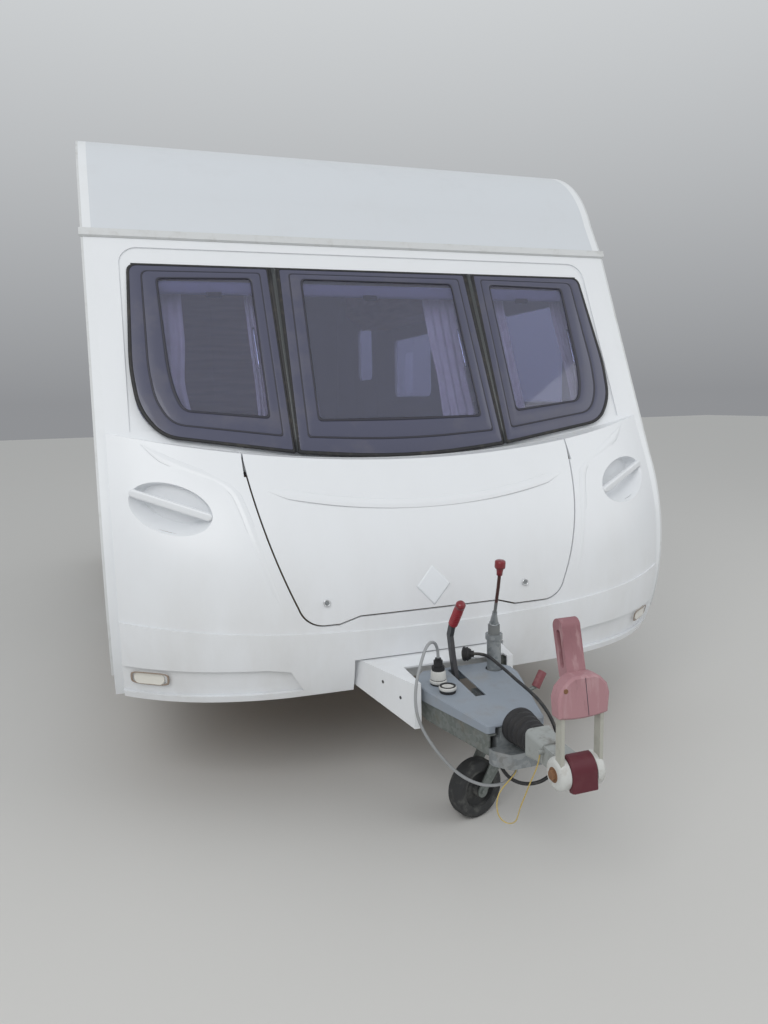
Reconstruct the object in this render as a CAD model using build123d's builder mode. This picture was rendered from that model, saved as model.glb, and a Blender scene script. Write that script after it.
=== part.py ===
"""Single-axle touring caravan, parked on its wheels and jockey wheel.

X points to the door side, Y to the rear and Z up, in millimetres. The origin is on the ground,
under the middle of the whole length. Lengths along the caravan are stations: millimetres behind
the front corners of the body, so the nose of the coupling has a negative station.
"""
import math
import os

from build123d import *

os.makedirs("parts", exist_ok=True)

# Whole vehicle
REACH = 1221  # nose of the coupling ahead of the body's front corners
BODY = 4900  # rearmost point behind the front corners
Y0 = (REACH - BODY) / 2  # world Y of station 0
HALF = 1114  # half of the body's width over its side walls
WALL = 30  # sandwich wall
INNER = HALF - WALL  # half of the width between the side walls
SKIRT = 415  # lower edge of the walls
FLOOR_Z = 460  # underside of the floor, which rests on the chassis
FLOOR = 30  # floor thickness
SEAM = 2054  # height of the joint across the front
SEAM_S = 386  # station of that joint
SHOULDER = 1165  # height where the front's bulge meets the sloping window band
BULGE = 93  # how far the front corner bulges ahead of station 0
SKIN = 14  # moulded front panel

# Wheels
AXLE_S = 2680
TYRE_R = 318
RIM_R = 188
TRACK_X = 985  # middle of a tyre
ARCH_R = 402

# Front windows, on a plane of their own that leans a little more than the panel
PANE = 8
PANE_S = 12
PANE_Z = 1236
PANE_LEAN = 0.473  # stations gained for each millimetre of height

# Locker lid and its hinge
GAP = 6
LID_BACK = -50  # the lid's lip ends here, in front of the windows

# Door: stations and heights of its opening
DOOR = (3560, 4190, 505, 2240)


def level(z):
    """Plan plane at height z: local x is across, local y is the station."""
    return Plane(origin=(0, Y0, z), x_dir=(1, 0, 0), z_dir=(0, 0, 1))


def side(x):
    """Upright plane along the caravan at x: local x is the station, local y the height."""
    return Plane(origin=(x, Y0, 0), x_dir=(0, 1, 0), z_dir=(1, 0, 0))


def front(s):
    """Upright plane across the caravan at station s, facing forward: local y is the height."""
    return Plane(origin=(0, Y0 + s, 0), x_dir=(1, 0, 0), z_dir=(0, -1, 0))


def at(x, s, z):
    """World position of a point given by its station."""
    return Vector(x, Y0 + s, z)


def save(name, part):
    """Label one sub-part and write it."""
    part.label = name
    export_step(part, f"parts/{name}.step")


def slab(x, s, z, mode=Mode.ADD):
    """Plain block between pairs of limits, added to the part being built."""
    with BuildSketch(level(z[0])) as plan:
        with Locations(((x[0] + x[1]) / 2, (s[0] + s[1]) / 2)):
            Rectangle(x[1] - x[0], s[1] - s[0])
    extrude(plan.sketch, amount=z[1] - z[0], mode=mode)


def rod(a, b, radius, mode=Mode.ADD):
    """Round bar between two world points, added to the part being built."""
    a, b = Vector(*a), Vector(*b)
    with BuildSketch(Plane(origin=a, z_dir=b - a)) as end:
        Circle(radius)
    extrude(end.sketch, amount=(b - a).length, dir=(b - a).normalized(), mode=mode)


def mirrored(part):
    """The same piece on the other side of the caravan."""
    return mirror(part, about=Plane.YZ)


# Body shell: one side profile gives the walls, the roof and both ends
def body_outline():
    """Side view of the body, as a face on the current sketch."""
    with BuildLine() as edge:
        ThreePointArc((0, SKIRT), (-BULGE, 790), (0, SHOULDER))
        Polyline((0, SHOULDER), (SEAM_S, SEAM), (470, 2200))
        ThreePointArc((470, 2200), (604, 2389), (860, 2510))
        ThreePointArc((860, 2510), (2500, 2566), (4180, 2510))
        ThreePointArc((4180, 2510), (4560, 2416), (4790, 2150))
        Polyline((4790, 2150), (4885, 1250), (4885, 700), (4860, SKIRT), (0, SKIRT))
    make_face(edge.line)


def shell_band(zone):
    """Part of the wall ring that lies inside a polygon of (station, height) points."""
    with BuildPart() as band:
        with BuildSketch(side(-INNER)):
            body_outline()
            offset(amount=-WALL, mode=Mode.SUBTRACT)
            with BuildLine():
                Polyline(*zone, close=True)
            make_face(mode=Mode.INTERSECT)
        extrude(amount=2 * INNER)
    return band.part


# Side windows: wall side (1 is the door side), stations, heights
SIDE_WINDOWS = (
    (1, 620, 1480, 1320, 1890),
    (1, 2330, 3130, 1400, 1890),
    (-1, 620, 1480, 1320, 1890),
    (-1, 2050, 2850, 1440, 1890),
    (-1, 4130, 4520, 1540, 1890),
)
# Hatches in the far side wall: name, stations, heights
HATCHES = (("battery_hatch", 1500, 1820, 540, 800), ("cassette_hatch", 4090, 4450, 500, 860))


def rounded(s, z, radius):
    """Rectangle with round corners between limits, on the current side or front plane."""
    with Locations(((s[0] + s[1]) / 2, (z[0] + z[1]) / 2)):
        RectangleRounded(s[1] - s[0], z[1] - z[0], radius)


def side_wall(hand):
    """One side wall with its windows, wheel arch, door or hatches cut."""
    inner_x = INNER if hand > 0 else -HALF
    face_x = hand * HALF
    with BuildPart() as wall:
        with BuildSketch(side(inner_x)):
            body_outline()
            with Locations((AXLE_S, TYRE_R)):
                Circle(ARCH_R, mode=Mode.SUBTRACT)
        extrude(amount=WALL)
        for which, s0, s1, z0, z1 in SIDE_WINDOWS:
            if which == hand:
                with BuildSketch(side(face_x)):
                    rounded((s0, s1), (z0, z1), 70)
                extrude(amount=-hand * 12, mode=Mode.SUBTRACT)
                with BuildSketch(side(face_x)):
                    rounded((s0 + 26, s1 - 26), (z0 + 26, z1 - 26), 50)
                extrude(amount=-hand * WALL, mode=Mode.SUBTRACT)
        if hand > 0:
            with BuildSketch(side(inner_x)):
                rounded(DOOR[:2], DOOR[2:], 60)
            extrude(amount=WALL, mode=Mode.SUBTRACT)
        else:
            for _, s0, s1, z0, z1 in HATCHES:
                with BuildSketch(side(inner_x)):
                    rounded((s0, s1), (z0, z1), 25)
                extrude(amount=WALL, mode=Mode.SUBTRACT)
    return wall.part


save("side_near", side_wall(1))
save("side_far", side_wall(-1))

# Roof, with two openings for the rooflights
ROOFLIGHTS = ((0, 1500, 400), (0, 3350, 500))  # across, station, width of the opening
ROOF_CUT = (800, 4300)  # stations of the joints with the front and the rear
with BuildPart() as roof:
    add(shell_band([(ROOF_CUT[0], 2300), (ROOF_CUT[1], 2300), (ROOF_CUT[1], 2700), (ROOF_CUT[0], 2700)]))
    for x, s, width in ROOFLIGHTS:
        with BuildSketch(level(2400)):
            with Locations((x, s)):
                RectangleRounded(width, width, 40)
        extrude(amount=300, mode=Mode.SUBTRACT)
save("roof", roof.part)

with BuildPart() as roof_lights:
    for x, s, width in ROOFLIGHTS:
        with BuildSketch(level(2553)):
            with Locations((x, s)):
                RectangleRounded(width - 10, width - 10, 40)
        with BuildSketch(level(2592)):
            with Locations((x, s)):
                RectangleRounded(width - 90, width - 90, 60)
        loft()
save("roof_lights", roof_lights.part)

with BuildPart() as front_upper:
    add(shell_band([(300, SEAM), (ROOF_CUT[0], SEAM), (ROOF_CUT[0], 2700), (300, 2700)]))
save("front_upper", front_upper.part)

REAR_BUMPER_TOP = 760
REAR_WINDOW = (-420, 420, 1430, 1900)
with BuildPart() as rear_panel:
    add(shell_band([(ROOF_CUT[1], 2700), (5000, 2700), (5000, REAR_BUMPER_TOP), (4700, REAR_BUMPER_TOP),
                    (4700, 2000), (ROOF_CUT[1], 2300)]))
    x0, x1, z0, z1 = REAR_WINDOW
    with BuildSketch(front(4950)):
        rounded((x0 + 26, x1 - 26), (z0 + 26, z1 - 26), 50)
    extrude(amount=200, mode=Mode.SUBTRACT)
save("rear_panel", rear_panel.part)

# The rear window lies on the panel's outside
REAR_LEAN = (4885 - 4790) / (2150 - 1250)  # stations lost for each millimetre of height
REAR_PANE_S = 4885 - (REAR_WINDOW[2] - 1250) * REAR_LEAN

with BuildPart() as rear_bumper:
    with BuildSketch(level(SKIRT)):
        with BuildLine():
            Polyline((-INNER, 4850), (-INNER, 4820), (INNER, 4820), (INNER, 4850))
            ThreePointArc((INNER, 4850), (0, BODY), (-INNER, 4850))
        make_face()
    extrude(amount=REAR_BUMPER_TOP - SKIRT)
    for x in (-860, 860):
        with BuildSketch(front(5000)):
            with Locations((x, 620)):
                RectangleRounded(260, 110, 30)
        extrude(amount=146, mode=Mode.SUBTRACT)
save("rear_bumper", rear_bumper.part)

with BuildPart() as rear_lamps:
    for x in (-860, 860):
        with BuildSketch(front(4872)):
            with Locations((x, 620)):
                RectangleRounded(250, 100, 26)
        extrude(amount=17)
save("rear_lamps", rear_lamps.part)

# Front moulding: plan sections bow forward between the corners, most at the bottom
NOSE_LEVELS = (405, 560, 740, 940, 1140, 1345)
NOSE_STEPS = (1084, 830, 550)  # where the three arcs of a section meet, across
LEDGE = (1205, 1330)  # height of the shelf under the windows, in the middle and at the sides
NOSE_BACK = 110  # station where the moulding ends, behind its upper corners


def corner_s(z):
    """Station of the body's front corner at height z."""
    if z > SHOULDER:
        return (z - SHOULDER) * SEAM_S / (SEAM - SHOULDER)
    half = (SHOULDER - SKIRT) / 2
    radius = (half**2 + BULGE**2) / (2 * BULGE)
    return radius - BULGE - math.sqrt(radius**2 - (z - SKIRT - half) ** 2)


def nose_s(x, z):
    """Station of the front moulding's face at x and height z."""
    bow = 0.1675 * (SEAM - z)
    return corner_s(z) - bow * (1 - min(1, abs(x) / 1100) ** 4)


def nose(inset, drop, back):
    """Solid front moulding, its face moved back by inset and its shelf lowered by drop."""
    with BuildPart() as block:
        for z in NOSE_LEVELS:
            wide, mid, near = NOSE_STEPS
            ends = [(x, nose_s(x, z) + inset) for x in (-wide, -mid, -near)]
            middle = ((-near - wide) / 2, nose_s((near + wide) / 2, z) + inset)
            outer = ((-mid - wide) / 2, nose_s((mid + wide) / 2, z) + inset)
            with BuildSketch(level(z)):
                with BuildLine():
                    ThreePointArc(ends[0], outer, ends[1])
                    ThreePointArc(ends[1], ((-mid - near) / 2, nose_s((mid + near) / 2, z) + inset), ends[2])
                    ThreePointArc(ends[2], (0, nose_s(0, z) + inset), (near, ends[2][1]))
                    ThreePointArc((near, ends[2][1]), ((mid + near) / 2, nose_s((mid + near) / 2, z) + inset),
                                  (mid, ends[1][1]))
                    ThreePointArc((mid, ends[1][1]), (-outer[0], outer[1]), (wide, ends[0][1]))
                    Polyline((wide, ends[0][1]), (wide, back), (-wide, back), ends[0])
                make_face()
        loft()
        with BuildSketch(front(200)):
            with BuildLine():
                ThreePointArc((-1090, LEDGE[1] - drop), (0, LEDGE[0] - drop), (1090, LEDGE[1] - drop))
                Polyline((1090, LEDGE[1] - drop), (1090, SKIRT), (-1090, SKIRT), (-1090, LEDGE[1] - drop))
            make_face()
        extrude(amount=700, mode=Mode.INTERSECT)
    return block.part


CREASE = (632, 710)  # height of the bumper's upper edge, in the middle and at the corners
NOTCH = (-322, 250, 532)  # left and right end and height of the cut-out for the drawbar's cover


def below_crease(mode):
    """Keep or cut everything under the bumper's upper edge."""
    with BuildSketch(front(200)) as low:
        with BuildLine():
            ThreePointArc((-1120, CREASE[1]), (0, CREASE[0]), (1120, CREASE[1]))
            Polyline((1120, CREASE[1]), (1120, 300), (-1120, 300), (-1120, CREASE[1]))
        make_face()
    extrude(low.sketch, amount=700, mode=mode)


LID_LOW = (670, 691)  # height of the lid's lower edge at its sides and over the drawbar
LID_STEPS = ((-1, 299, 372), (1, 227, 298))  # side, end of the raised part, start of the low part


def lid_outline(grow=0):
    """Front view of the locker lid, straight across the top where it runs out past the shelf."""
    with BuildLine() as edge:
        for hand, near, far in LID_STEPS:
            Polyline((0, LID_LOW[1]), (hand * near, LID_LOW[1]), (hand * far, LID_LOW[0]), (hand * 420, LID_LOW[0]))
            ThreePointArc((hand * 420, LID_LOW[0]), (hand * 478, 690), (hand * 508, 735))
            ThreePointArc((hand * 508, 735), (hand * 590, 965), (hand * 640, 1225))
            Line((hand * 640, 1225), (hand * 640, 1400))
        Line((-640, 1400), (640, 1400))
    make_face(edge.line)
    if grow:
        offset(amount=grow, mode=Mode.REPLACE)


# Grab handles: upper outer end and lower inner end of the bar, and its recess
HANDLE_OUT = (1012, -62, 1132)
HANDLE_IN = (772, -172, 1046)


def handle_plane(hand):
    """Plane through the middle of a grab handle: local x along the bar, facing outward."""
    a = at(hand * HANDLE_IN[0], *HANDLE_IN[1:])
    b = at(hand * HANDLE_OUT[0], *HANDLE_OUT[1:])
    along = b - a if hand > 0 else a - b
    out = Vector(hand * 0.42, -0.88, 0.05)
    normal = out - along * (out.dot(along) / along.dot(along))
    return Plane(origin=(a + b) * 0.5, x_dir=along, z_dir=normal)


def handle_bar(hand, grow=0):
    """Flattened bar of a grab handle, with round ends that seat in the panel."""
    with BuildPart() as bar:
        with BuildSketch(handle_plane(hand).offset(-9 - grow)):
            SlotOverall(296 + 2 * grow, 27 + 2 * grow)
        extrude(amount=20 + 2 * grow)
        if not grow:
            fillet(bar.faces().sort_by(Axis.Y)[0].edges(), 7)
    return bar.part


PANE_PLANE = Plane(origin=at(0, PANE_S, PANE_Z), x_dir=(1, 0, 0), z_dir=(0, -1, PANE_LEAN))
PANE_UP = math.sqrt(1 + PANE_LEAN**2)  # slope length of each millimetre of height


def up_pane(z):
    """Distance up the window plane of a height."""
    return (z - PANE_Z) * PANE_UP


PILLAR_X = 428  # middle of a window pillar
PANE_GAP = 9  # half of the gap between two windows


def window_group(grow=0):
    """Outline of the three front windows together, on their own plane."""
    top, low, turn = up_pane(1936), up_pane(1299), up_pane(1425)
    with BuildLine() as edge:
        ThreePointArc((-800, low), (0, up_pane(1214)), (800, low))
        ThreePointArc((800, low), (925, up_pane(1345)), (974, turn))
        Polyline((974, turn), (966, top - 26), (940, top), (-940, top), (-966, top - 26), (-974, turn))
        ThreePointArc((-974, turn), (-925, up_pane(1345)), (-800, low))
    make_face(edge.line)
    if grow:
        offset(amount=grow, mode=Mode.REPLACE)


def window_strip(x0, x1, grow=0):
    """Part of the window group between two distances across."""
    window_group(grow)
    with Locations(((x0 + x1) / 2, up_pane(1600))):
        Rectangle(x1 - x0, 1200, mode=Mode.INTERSECT)


WINDOW_STRIPS = ((-990, -PILLAR_X - PANE_GAP), (-PILLAR_X + PANE_GAP, PILLAR_X - PANE_GAP),
                 (PILLAR_X + PANE_GAP, 990))
with BuildPart() as front_windows:
    for x0, x1 in WINDOW_STRIPS:
        with BuildSketch(PANE_PLANE):
            window_strip(x0, x1)
        extrude(amount=-PANE)
save("front_windows", front_windows.part)

# Dished recesses behind the grab handles need material behind the thin moulding
with BuildPart() as dishes:
    for hand in (-1, 1):
        with BuildSketch(handle_plane(hand).offset(-62)):
            Ellipse(168, 84)
        extrude(amount=140)
    add(nose(2, SKIN, NOSE_BACK), mode=Mode.INTERSECT)

# White panel round the windows and the bulging nose below them
HOOD_R = 70
with BuildPart() as front_panel:
    add(nose(0, 0, NOSE_BACK))
    add(nose(SKIN, SKIN, NOSE_BACK + 40), mode=Mode.SUBTRACT)
    add(dishes.part)
    below_crease(Mode.SUBTRACT)
    with BuildSketch(front(-20)):
        lid_outline(GAP)
    extrude(amount=500, mode=Mode.SUBTRACT)
    with BuildSketch(front(LID_BACK + GAP)):
        with Locations((0, 1300)):
            Rectangle(2 * (640 + GAP), 260)
    extrude(amount=500, mode=Mode.SUBTRACT)
    add(shell_band([(-20, 1175), (200, 1175), (600, SEAM), (300, SEAM)]))
    skin_plane = Plane(origin=at(0, 0, SHOULDER), x_dir=(1, 0, 0), z_dir=(0, SHOULDER - SEAM, SEAM_S))
    skin_up = math.hypot(SEAM - SHOULDER, SEAM_S) / (SEAM - SHOULDER)
    with BuildSketch(skin_plane) as skin_sketch:
        hood = ((2006 - SHOULDER) * skin_up, (1330 - SHOULDER) * skin_up)
        with BuildLine():
            Polyline((-1004, hood[1]), (-996, hood[0]), (996, hood[0]), (1004, hood[1]), close=True)
        make_face()
        fillet(skin_sketch.vertices().group_by(Axis.Y)[-1], HOOD_R)
    extrude(amount=-6, mode=Mode.SUBTRACT)
    with BuildSketch(PANE_PLANE.offset(-PANE)):
        window_group(4)
    extrude(amount=60, mode=Mode.SUBTRACT)
    for x0, x1 in WINDOW_STRIPS:
        with BuildSketch(PANE_PLANE.offset(-120)):
            window_strip(x0, x1)
            offset(amount=-24, mode=Mode.REPLACE)
        extrude(amount=140, mode=Mode.SUBTRACT)
    for hand in (-1, 1):
        with BuildSketch(handle_plane(hand).offset(-46)):
            Ellipse(118, 58)
        with BuildSketch(handle_plane(hand).offset(70)):
            Ellipse(190, 100)
        loft(mode=Mode.SUBTRACT)
        add(handle_bar(hand), mode=Mode.SUBTRACT)
save("front_panel", front_panel.part)

with BuildPart() as grab_handles:
    for hand in (-1, 1):
        add(handle_bar(hand))
save("grab_handles", grab_handles.part)

with BuildPart() as locker_lid:
    add(nose(0, 0, NOSE_BACK))
    add(nose(SKIN, SKIN, NOSE_BACK + 40), mode=Mode.SUBTRACT)
    with BuildSketch(front(LID_BACK)):
        lid_outline()
    extrude(amount=500, mode=Mode.INTERSECT)
save("locker_lid", locker_lid.part)

# Bumper: stands a little proud, with a notch for the drawbar's cover and a channel for the lamps
BUMPER_OUT = 8
CHANNEL = (500, 438, 538)  # inner end, lower and upper edge of the recessed channel
CHANNEL_IN = 10
LAMP = (998, 500)  # middle of a marker lamp, across and up


def channels(mode):
    """Blocks in front of the bumper where its two channels run."""
    with BuildSketch(front(200)) as zone:
        for hand in (-1, 1):
            with BuildLine():
                Polyline((hand * CHANNEL[0], CHANNEL[1]), (hand * 545, CHANNEL[2] - 22), (hand * 620, CHANNEL[2] - 8),
                         (hand * 1120, CHANNEL[2] + 6), (hand * 1120, CHANNEL[1]), close=True)
            make_face()
    extrude(zone.sketch, amount=700, mode=mode)


def lamp_plane(hand):
    """Plane on the bumper's channel at a marker lamp, facing outward."""
    x, z = LAMP
    step = 20
    lean = (nose_s(x + step, z) - nose_s(x - step, z)) / (2 * step)
    origin = at(hand * x, nose_s(x, z) + CHANNEL_IN, z)
    return Plane(origin=origin, x_dir=(1, hand * lean, 0), z_dir=(hand * lean, -1, 0))


with BuildPart() as set_back:
    add(nose(CHANNEL_IN, 0, NOSE_BACK))
    channels(Mode.INTERSECT)

with BuildPart() as front_bumper:
    add(nose(-BUMPER_OUT, 0, NOSE_BACK))
    channels(Mode.SUBTRACT)
    add(set_back.part)
    add(nose(CHANNEL_IN + SKIN, 0, NOSE_BACK + 40), mode=Mode.SUBTRACT)
    below_crease(Mode.INTERSECT)
    slab(NOTCH[:2], (-400, 100), (400, NOTCH[2]), mode=Mode.SUBTRACT)
    for hand in (-1, 1):
        with BuildSketch(lamp_plane(hand)):
            SlotOverall(118, 42)
        extrude(amount=40, both=True, mode=Mode.SUBTRACT)
save("front_bumper", front_bumper.part)

with BuildPart() as marker_lamps:
    for hand in (-1, 1):
        with BuildSketch(lamp_plane(hand).offset(-SKIN)):
            SlotOverall(118, 42)
        extrude(amount=SKIN + 5)
save("marker_lamps", marker_lamps.part)

# Trim strip over the front joint, and the awning rails up and over both sides
RAIL = (20, 8)  # width on the side wall and how far it stands out
with BuildPart() as body_trims:
    with BuildSketch(side(-HALF - 14)):
        with BuildLine():
            Polyline((SEAM_S - 8, SEAM - 15), (SEAM_S - 14, SEAM - 8), (SEAM_S - 6, SEAM + 18),
                     (SEAM_S + 9, SEAM + 17), (SEAM_S + 1, SEAM + 2), (SEAM_S - 5, SEAM - 12), close=True)
        make_face()
    extrude(amount=2 * HALF + 28)
    add(front_panel.part, mode=Mode.SUBTRACT)
    add(front_upper.part, mode=Mode.SUBTRACT)
    for hand in (-1, 1):
        with BuildSketch(side(hand * INNER)):
            body_outline()
        extrude(amount=hand * 80, mode=Mode.SUBTRACT)
    for hand in (-1, 1):
        with BuildSketch(side(hand * HALF)):
            body_outline()
            offset(amount=-RAIL[0], mode=Mode.SUBTRACT)
            with Locations((2400, 1600)):
                Rectangle(6000, 2200, mode=Mode.INTERSECT)
        extrude(amount=hand * RAIL[1])
save("body_trims", body_trims.part)

# Side and rear windows: acrylic panes, at the sides seated in the pockets of the walls
with BuildPart() as cabin_windows:
    for hand, s0, s1, z0, z1 in SIDE_WINDOWS:
        with BuildSketch(side(hand * (HALF - 12))):
            rounded((s0 + 3, s1 - 3), (z0 + 3, z1 - 3), 67)
        extrude(amount=hand * 16)
    rear_slope = Plane(origin=at(0, REAR_PANE_S, REAR_WINDOW[2]), x_dir=(1, 0, 0), z_dir=(0, -1, -REAR_LEAN))
    with BuildSketch(rear_slope):
        rounded(REAR_WINDOW[:2], (0, REAR_WINDOW[3] - REAR_WINDOW[2]), 70)
    extrude(amount=-9)
save("cabin_windows", cabin_windows.part)

# Entrance door with its own window and handle
DOOR_PANE = (3660, 4090, 1560, 2040)
DOOR_GAP = 6
with BuildPart() as door:
    s0, s1, z0, z1 = DOOR
    with BuildSketch(side(INNER)):
        rounded((s0 + DOOR_GAP, s1 - DOOR_GAP), (z0 + DOOR_GAP, z1 - DOOR_GAP), 54)
        p0, p1, q0, q1 = DOOR_PANE
        with Locations(((p0 + p1) / 2, (q0 + q1) / 2)):
            RectangleRounded(p1 - p0 - 40, q1 - q0 - 40, 50, mode=Mode.SUBTRACT)
    extrude(amount=WALL)
    with BuildSketch(side(HALF)):
        rounded(DOOR_PANE[:2], DOOR_PANE[2:], 60)
    extrude(amount=-10, mode=Mode.SUBTRACT)
    with BuildSketch(side(HALF)):
        rounded((s1 - 150, s1 - 50), (1330, 1430), 16)
    extrude(amount=-12, mode=Mode.SUBTRACT)
save("door", door.part)

with BuildPart() as door_window:
    with BuildSketch(side(HALF - 10)):
        rounded((DOOR_PANE[0] + 2, DOOR_PANE[1] - 2), (DOOR_PANE[2] + 2, DOOR_PANE[3] - 2), 58)
    extrude(amount=13)
save("door_window", door_window.part)

with BuildPart() as door_handle:
    s1 = DOOR[1]
    with BuildSketch(side(HALF - 12)):
        rounded((s1 - 148, s1 - 52), (1332, 1428), 14)
    extrude(amount=14)
    with BuildSketch(side(HALF)):
        rounded((s1 - 140, s1 - 60), (1352, 1384), 10)
    extrude(amount=14)
save("door_handle", door_handle.part)

# Hatches in the far wall, hinged along their upper edges
for name, s0, s1, z0, z1 in HATCHES:
    with BuildPart() as hatch:
        with BuildSketch(side(-HALF)):
            rounded((s0 + GAP, s1 - GAP), (z0 + GAP, z1 - GAP), 20)
        extrude(amount=WALL - 6)
        with BuildSketch(side(-HALF)):
            with Locations(((s0 + s1) / 2, z0 + 46)):
                Circle(16)
        extrude(amount=5, mode=Mode.SUBTRACT)
    save(name, hatch.part)

# Floor, cut away round the wheels
BOX_X = 826  # inner wall of a wheel box
BOX_GAP = 0.5
with BuildPart() as floor:
    slab((-INNER, INNER), (NOSE_BACK, 4820), (FLOOR_Z, FLOOR_Z + FLOOR))
    slab((-700, 700), (-40, NOSE_BACK), (FLOOR_Z, FLOOR_Z + FLOOR))
    for hand in (-1, 1):
        with BuildSketch(side(hand * (BOX_X - 8 - BOX_GAP))):
            with Locations((AXLE_S, TYRE_R)):
                Circle(ARCH_R + 8 + BOX_GAP)
        extrude(amount=hand * (INNER - BOX_X + 20), mode=Mode.SUBTRACT)
save("floor", floor.part)

# Half-round box over each wheel
with BuildPart() as wheel_boxes:
    for hand in (-1, 1):
        with BuildSketch(side(hand * (BOX_X - 8))):
            with Locations((AXLE_S, TYRE_R)):
                Circle(ARCH_R + 8)
            with Locations((AXLE_S, FLOOR_Z + 500)):
                Rectangle(1000, 1000, mode=Mode.INTERSECT)
        extrude(amount=hand * (INNER - BOX_X + 8))
        with BuildSketch(side(hand * BOX_X)):
            with Locations((AXLE_S, TYRE_R)):
                Circle(ARCH_R)
        extrude(amount=hand * (INNER - BOX_X), mode=Mode.SUBTRACT)
save("wheel_boxes", wheel_boxes.part)

# Chassis: two pressed rails with lightening holes and cross members, and a fork for each steady
STEADY_X = 850
STEADY_Z = 372
STEADIES = (("front_left", -1, 330, 1), ("front_right", 1, 330, 1), ("rear_left", -1, 4620, -1),
            ("rear_right", 1, 4620, -1))  # side, station of the pivot, direction of the folded leg
RAIL_X = 560
RAIL_Z = (300, FLOOR_Z)
RAIL_S = (140, 4500)
with BuildPart() as chassis:
    for hand in (-1, 1):
        with BuildSketch(side(hand * RAIL_X)):
            with BuildLine():
                Polyline((RAIL_S[0], 375), (500, RAIL_Z[0]), (3100, RAIL_Z[0]), (RAIL_S[1], 385),
                         (RAIL_S[1], RAIL_Z[1]), (RAIL_S[0], RAIL_Z[1]), close=True)
            make_face()
            for s in (800, 1250, 1700, 2150, 3150, 3500):
                with Locations((s, 378)):
                    SlotOverall(260, 70, mode=Mode.SUBTRACT)
        extrude(amount=hand * 6)
        slab(sorted((hand * (RAIL_X - 44), hand * RAIL_X)), RAIL_S, (RAIL_Z[1] - 6, RAIL_Z[1]))
    slab((-RAIL_X - 2, RAIL_X + 2), (170, 220), (377, 400))
    for s in (1800, 4440):
        slab((-RAIL_X - 2, RAIL_X + 2), (s, s + 50), (392, RAIL_Z[1]))
    for hand in (-1, 1):
        slab(sorted((hand * (RAIL_X - 30), hand * (RAIL_X + 50))), (1960, 2080), (RAIL_Z[0] - 8, RAIL_Z[0]))
        for s in (1870, 4300):
            slab(sorted((hand * RAIL_X, hand * 790)), (s, s + 40), (421, RAIL_Z[1]))
    for _, hand, s, _ in STEADIES:
        x = hand * STEADY_X
        for cheek in (-1, 1):
            slab(sorted((x + cheek * 17, x + cheek * 22)), (s - 26, s + 26), (STEADY_Z - 20, FLOOR_Z))
        slab((x - 22, x + 22), (s - 26, s + 26), (FLOOR_Z - 6, FLOOR_Z))
        rod(at(x - 22, s, STEADY_Z), at(x + 22, s, STEADY_Z), 6)
save("chassis", chassis.part)

# Drawbar: two channel rails that spread from the overrun housing back to the chassis
BAR_Z = (400, 458)
BAR_S = (-863, 900)
BAR_FLANGE = 24
BAR_SPREAD = 0.246  # gained across for each millimetre of station


def bar_x(s, inset=0):
    """Outer face of a drawbar rail at a station."""
    return 90 + BAR_SPREAD * (s - BAR_S[0]) - inset


def bar_strip(hand, inset, z):
    """Slanting strip along a drawbar rail, inset deep, between two heights."""
    with BuildSketch(level(z[0])) as strip:
        with BuildLine() as edge:
            Polyline((hand * bar_x(BAR_S[0]), BAR_S[0]), (hand * bar_x(BAR_S[1]), BAR_S[1]),
                     (hand * bar_x(BAR_S[1], inset), BAR_S[1]), (hand * bar_x(BAR_S[0], inset), BAR_S[0]), close=True)
        make_face(edge.edges())
    extrude(strip.sketch, amount=z[1] - z[0])


with BuildPart() as drawbar:
    for hand in (-1, 1):
        bar_strip(hand, 5, BAR_Z)
        bar_strip(hand, BAR_FLANGE, (BAR_Z[0], BAR_Z[0] + 5))
        bar_strip(hand, BAR_FLANGE, (BAR_Z[1] - 5, BAR_Z[1]))
        slab(sorted((hand * 193, hand * 206)), (-420, -380), (BAR_Z[1] - 5, 521))
    with BuildSketch(level(BAR_Z[0] - 6)):
        with BuildLine():
            Polyline((-bar_x(BAR_S[0]), BAR_S[0]), (bar_x(BAR_S[0]), BAR_S[0]), (bar_x(-560), -560),
                     (-bar_x(-560), -560), close=True)
        make_face()
    extrude(amount=6)
    slab((-60, 12), (-562, -480), (BAR_Z[0] - 6, BAR_Z[0]))
    add(chassis.part, mode=Mode.SUBTRACT)
save("drawbar", drawbar.part)

# Wheels: tyre, pressed steel rim with slots and hub drum, carried by a trailing arm each
TYRE_FLAT = 66  # half width of the tread before the shoulders
with BuildPart() as tyre:
    with BuildSketch(Plane.XZ):
        with BuildLine():
            Polyline((-75, RIM_R + 2), (-76, RIM_R + 14), (-88, RIM_R + 42), (-88, 272), (-80, 302),
                     (-TYRE_FLAT, TYRE_R - 3), (-30, TYRE_R), (30, TYRE_R), (TYRE_FLAT, TYRE_R - 3), (80, 302),
                     (88, 272), (88, RIM_R + 42), (76, RIM_R + 14), (75, RIM_R + 2), close=True)
        make_face()
    revolve(axis=Axis.X)

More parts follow.
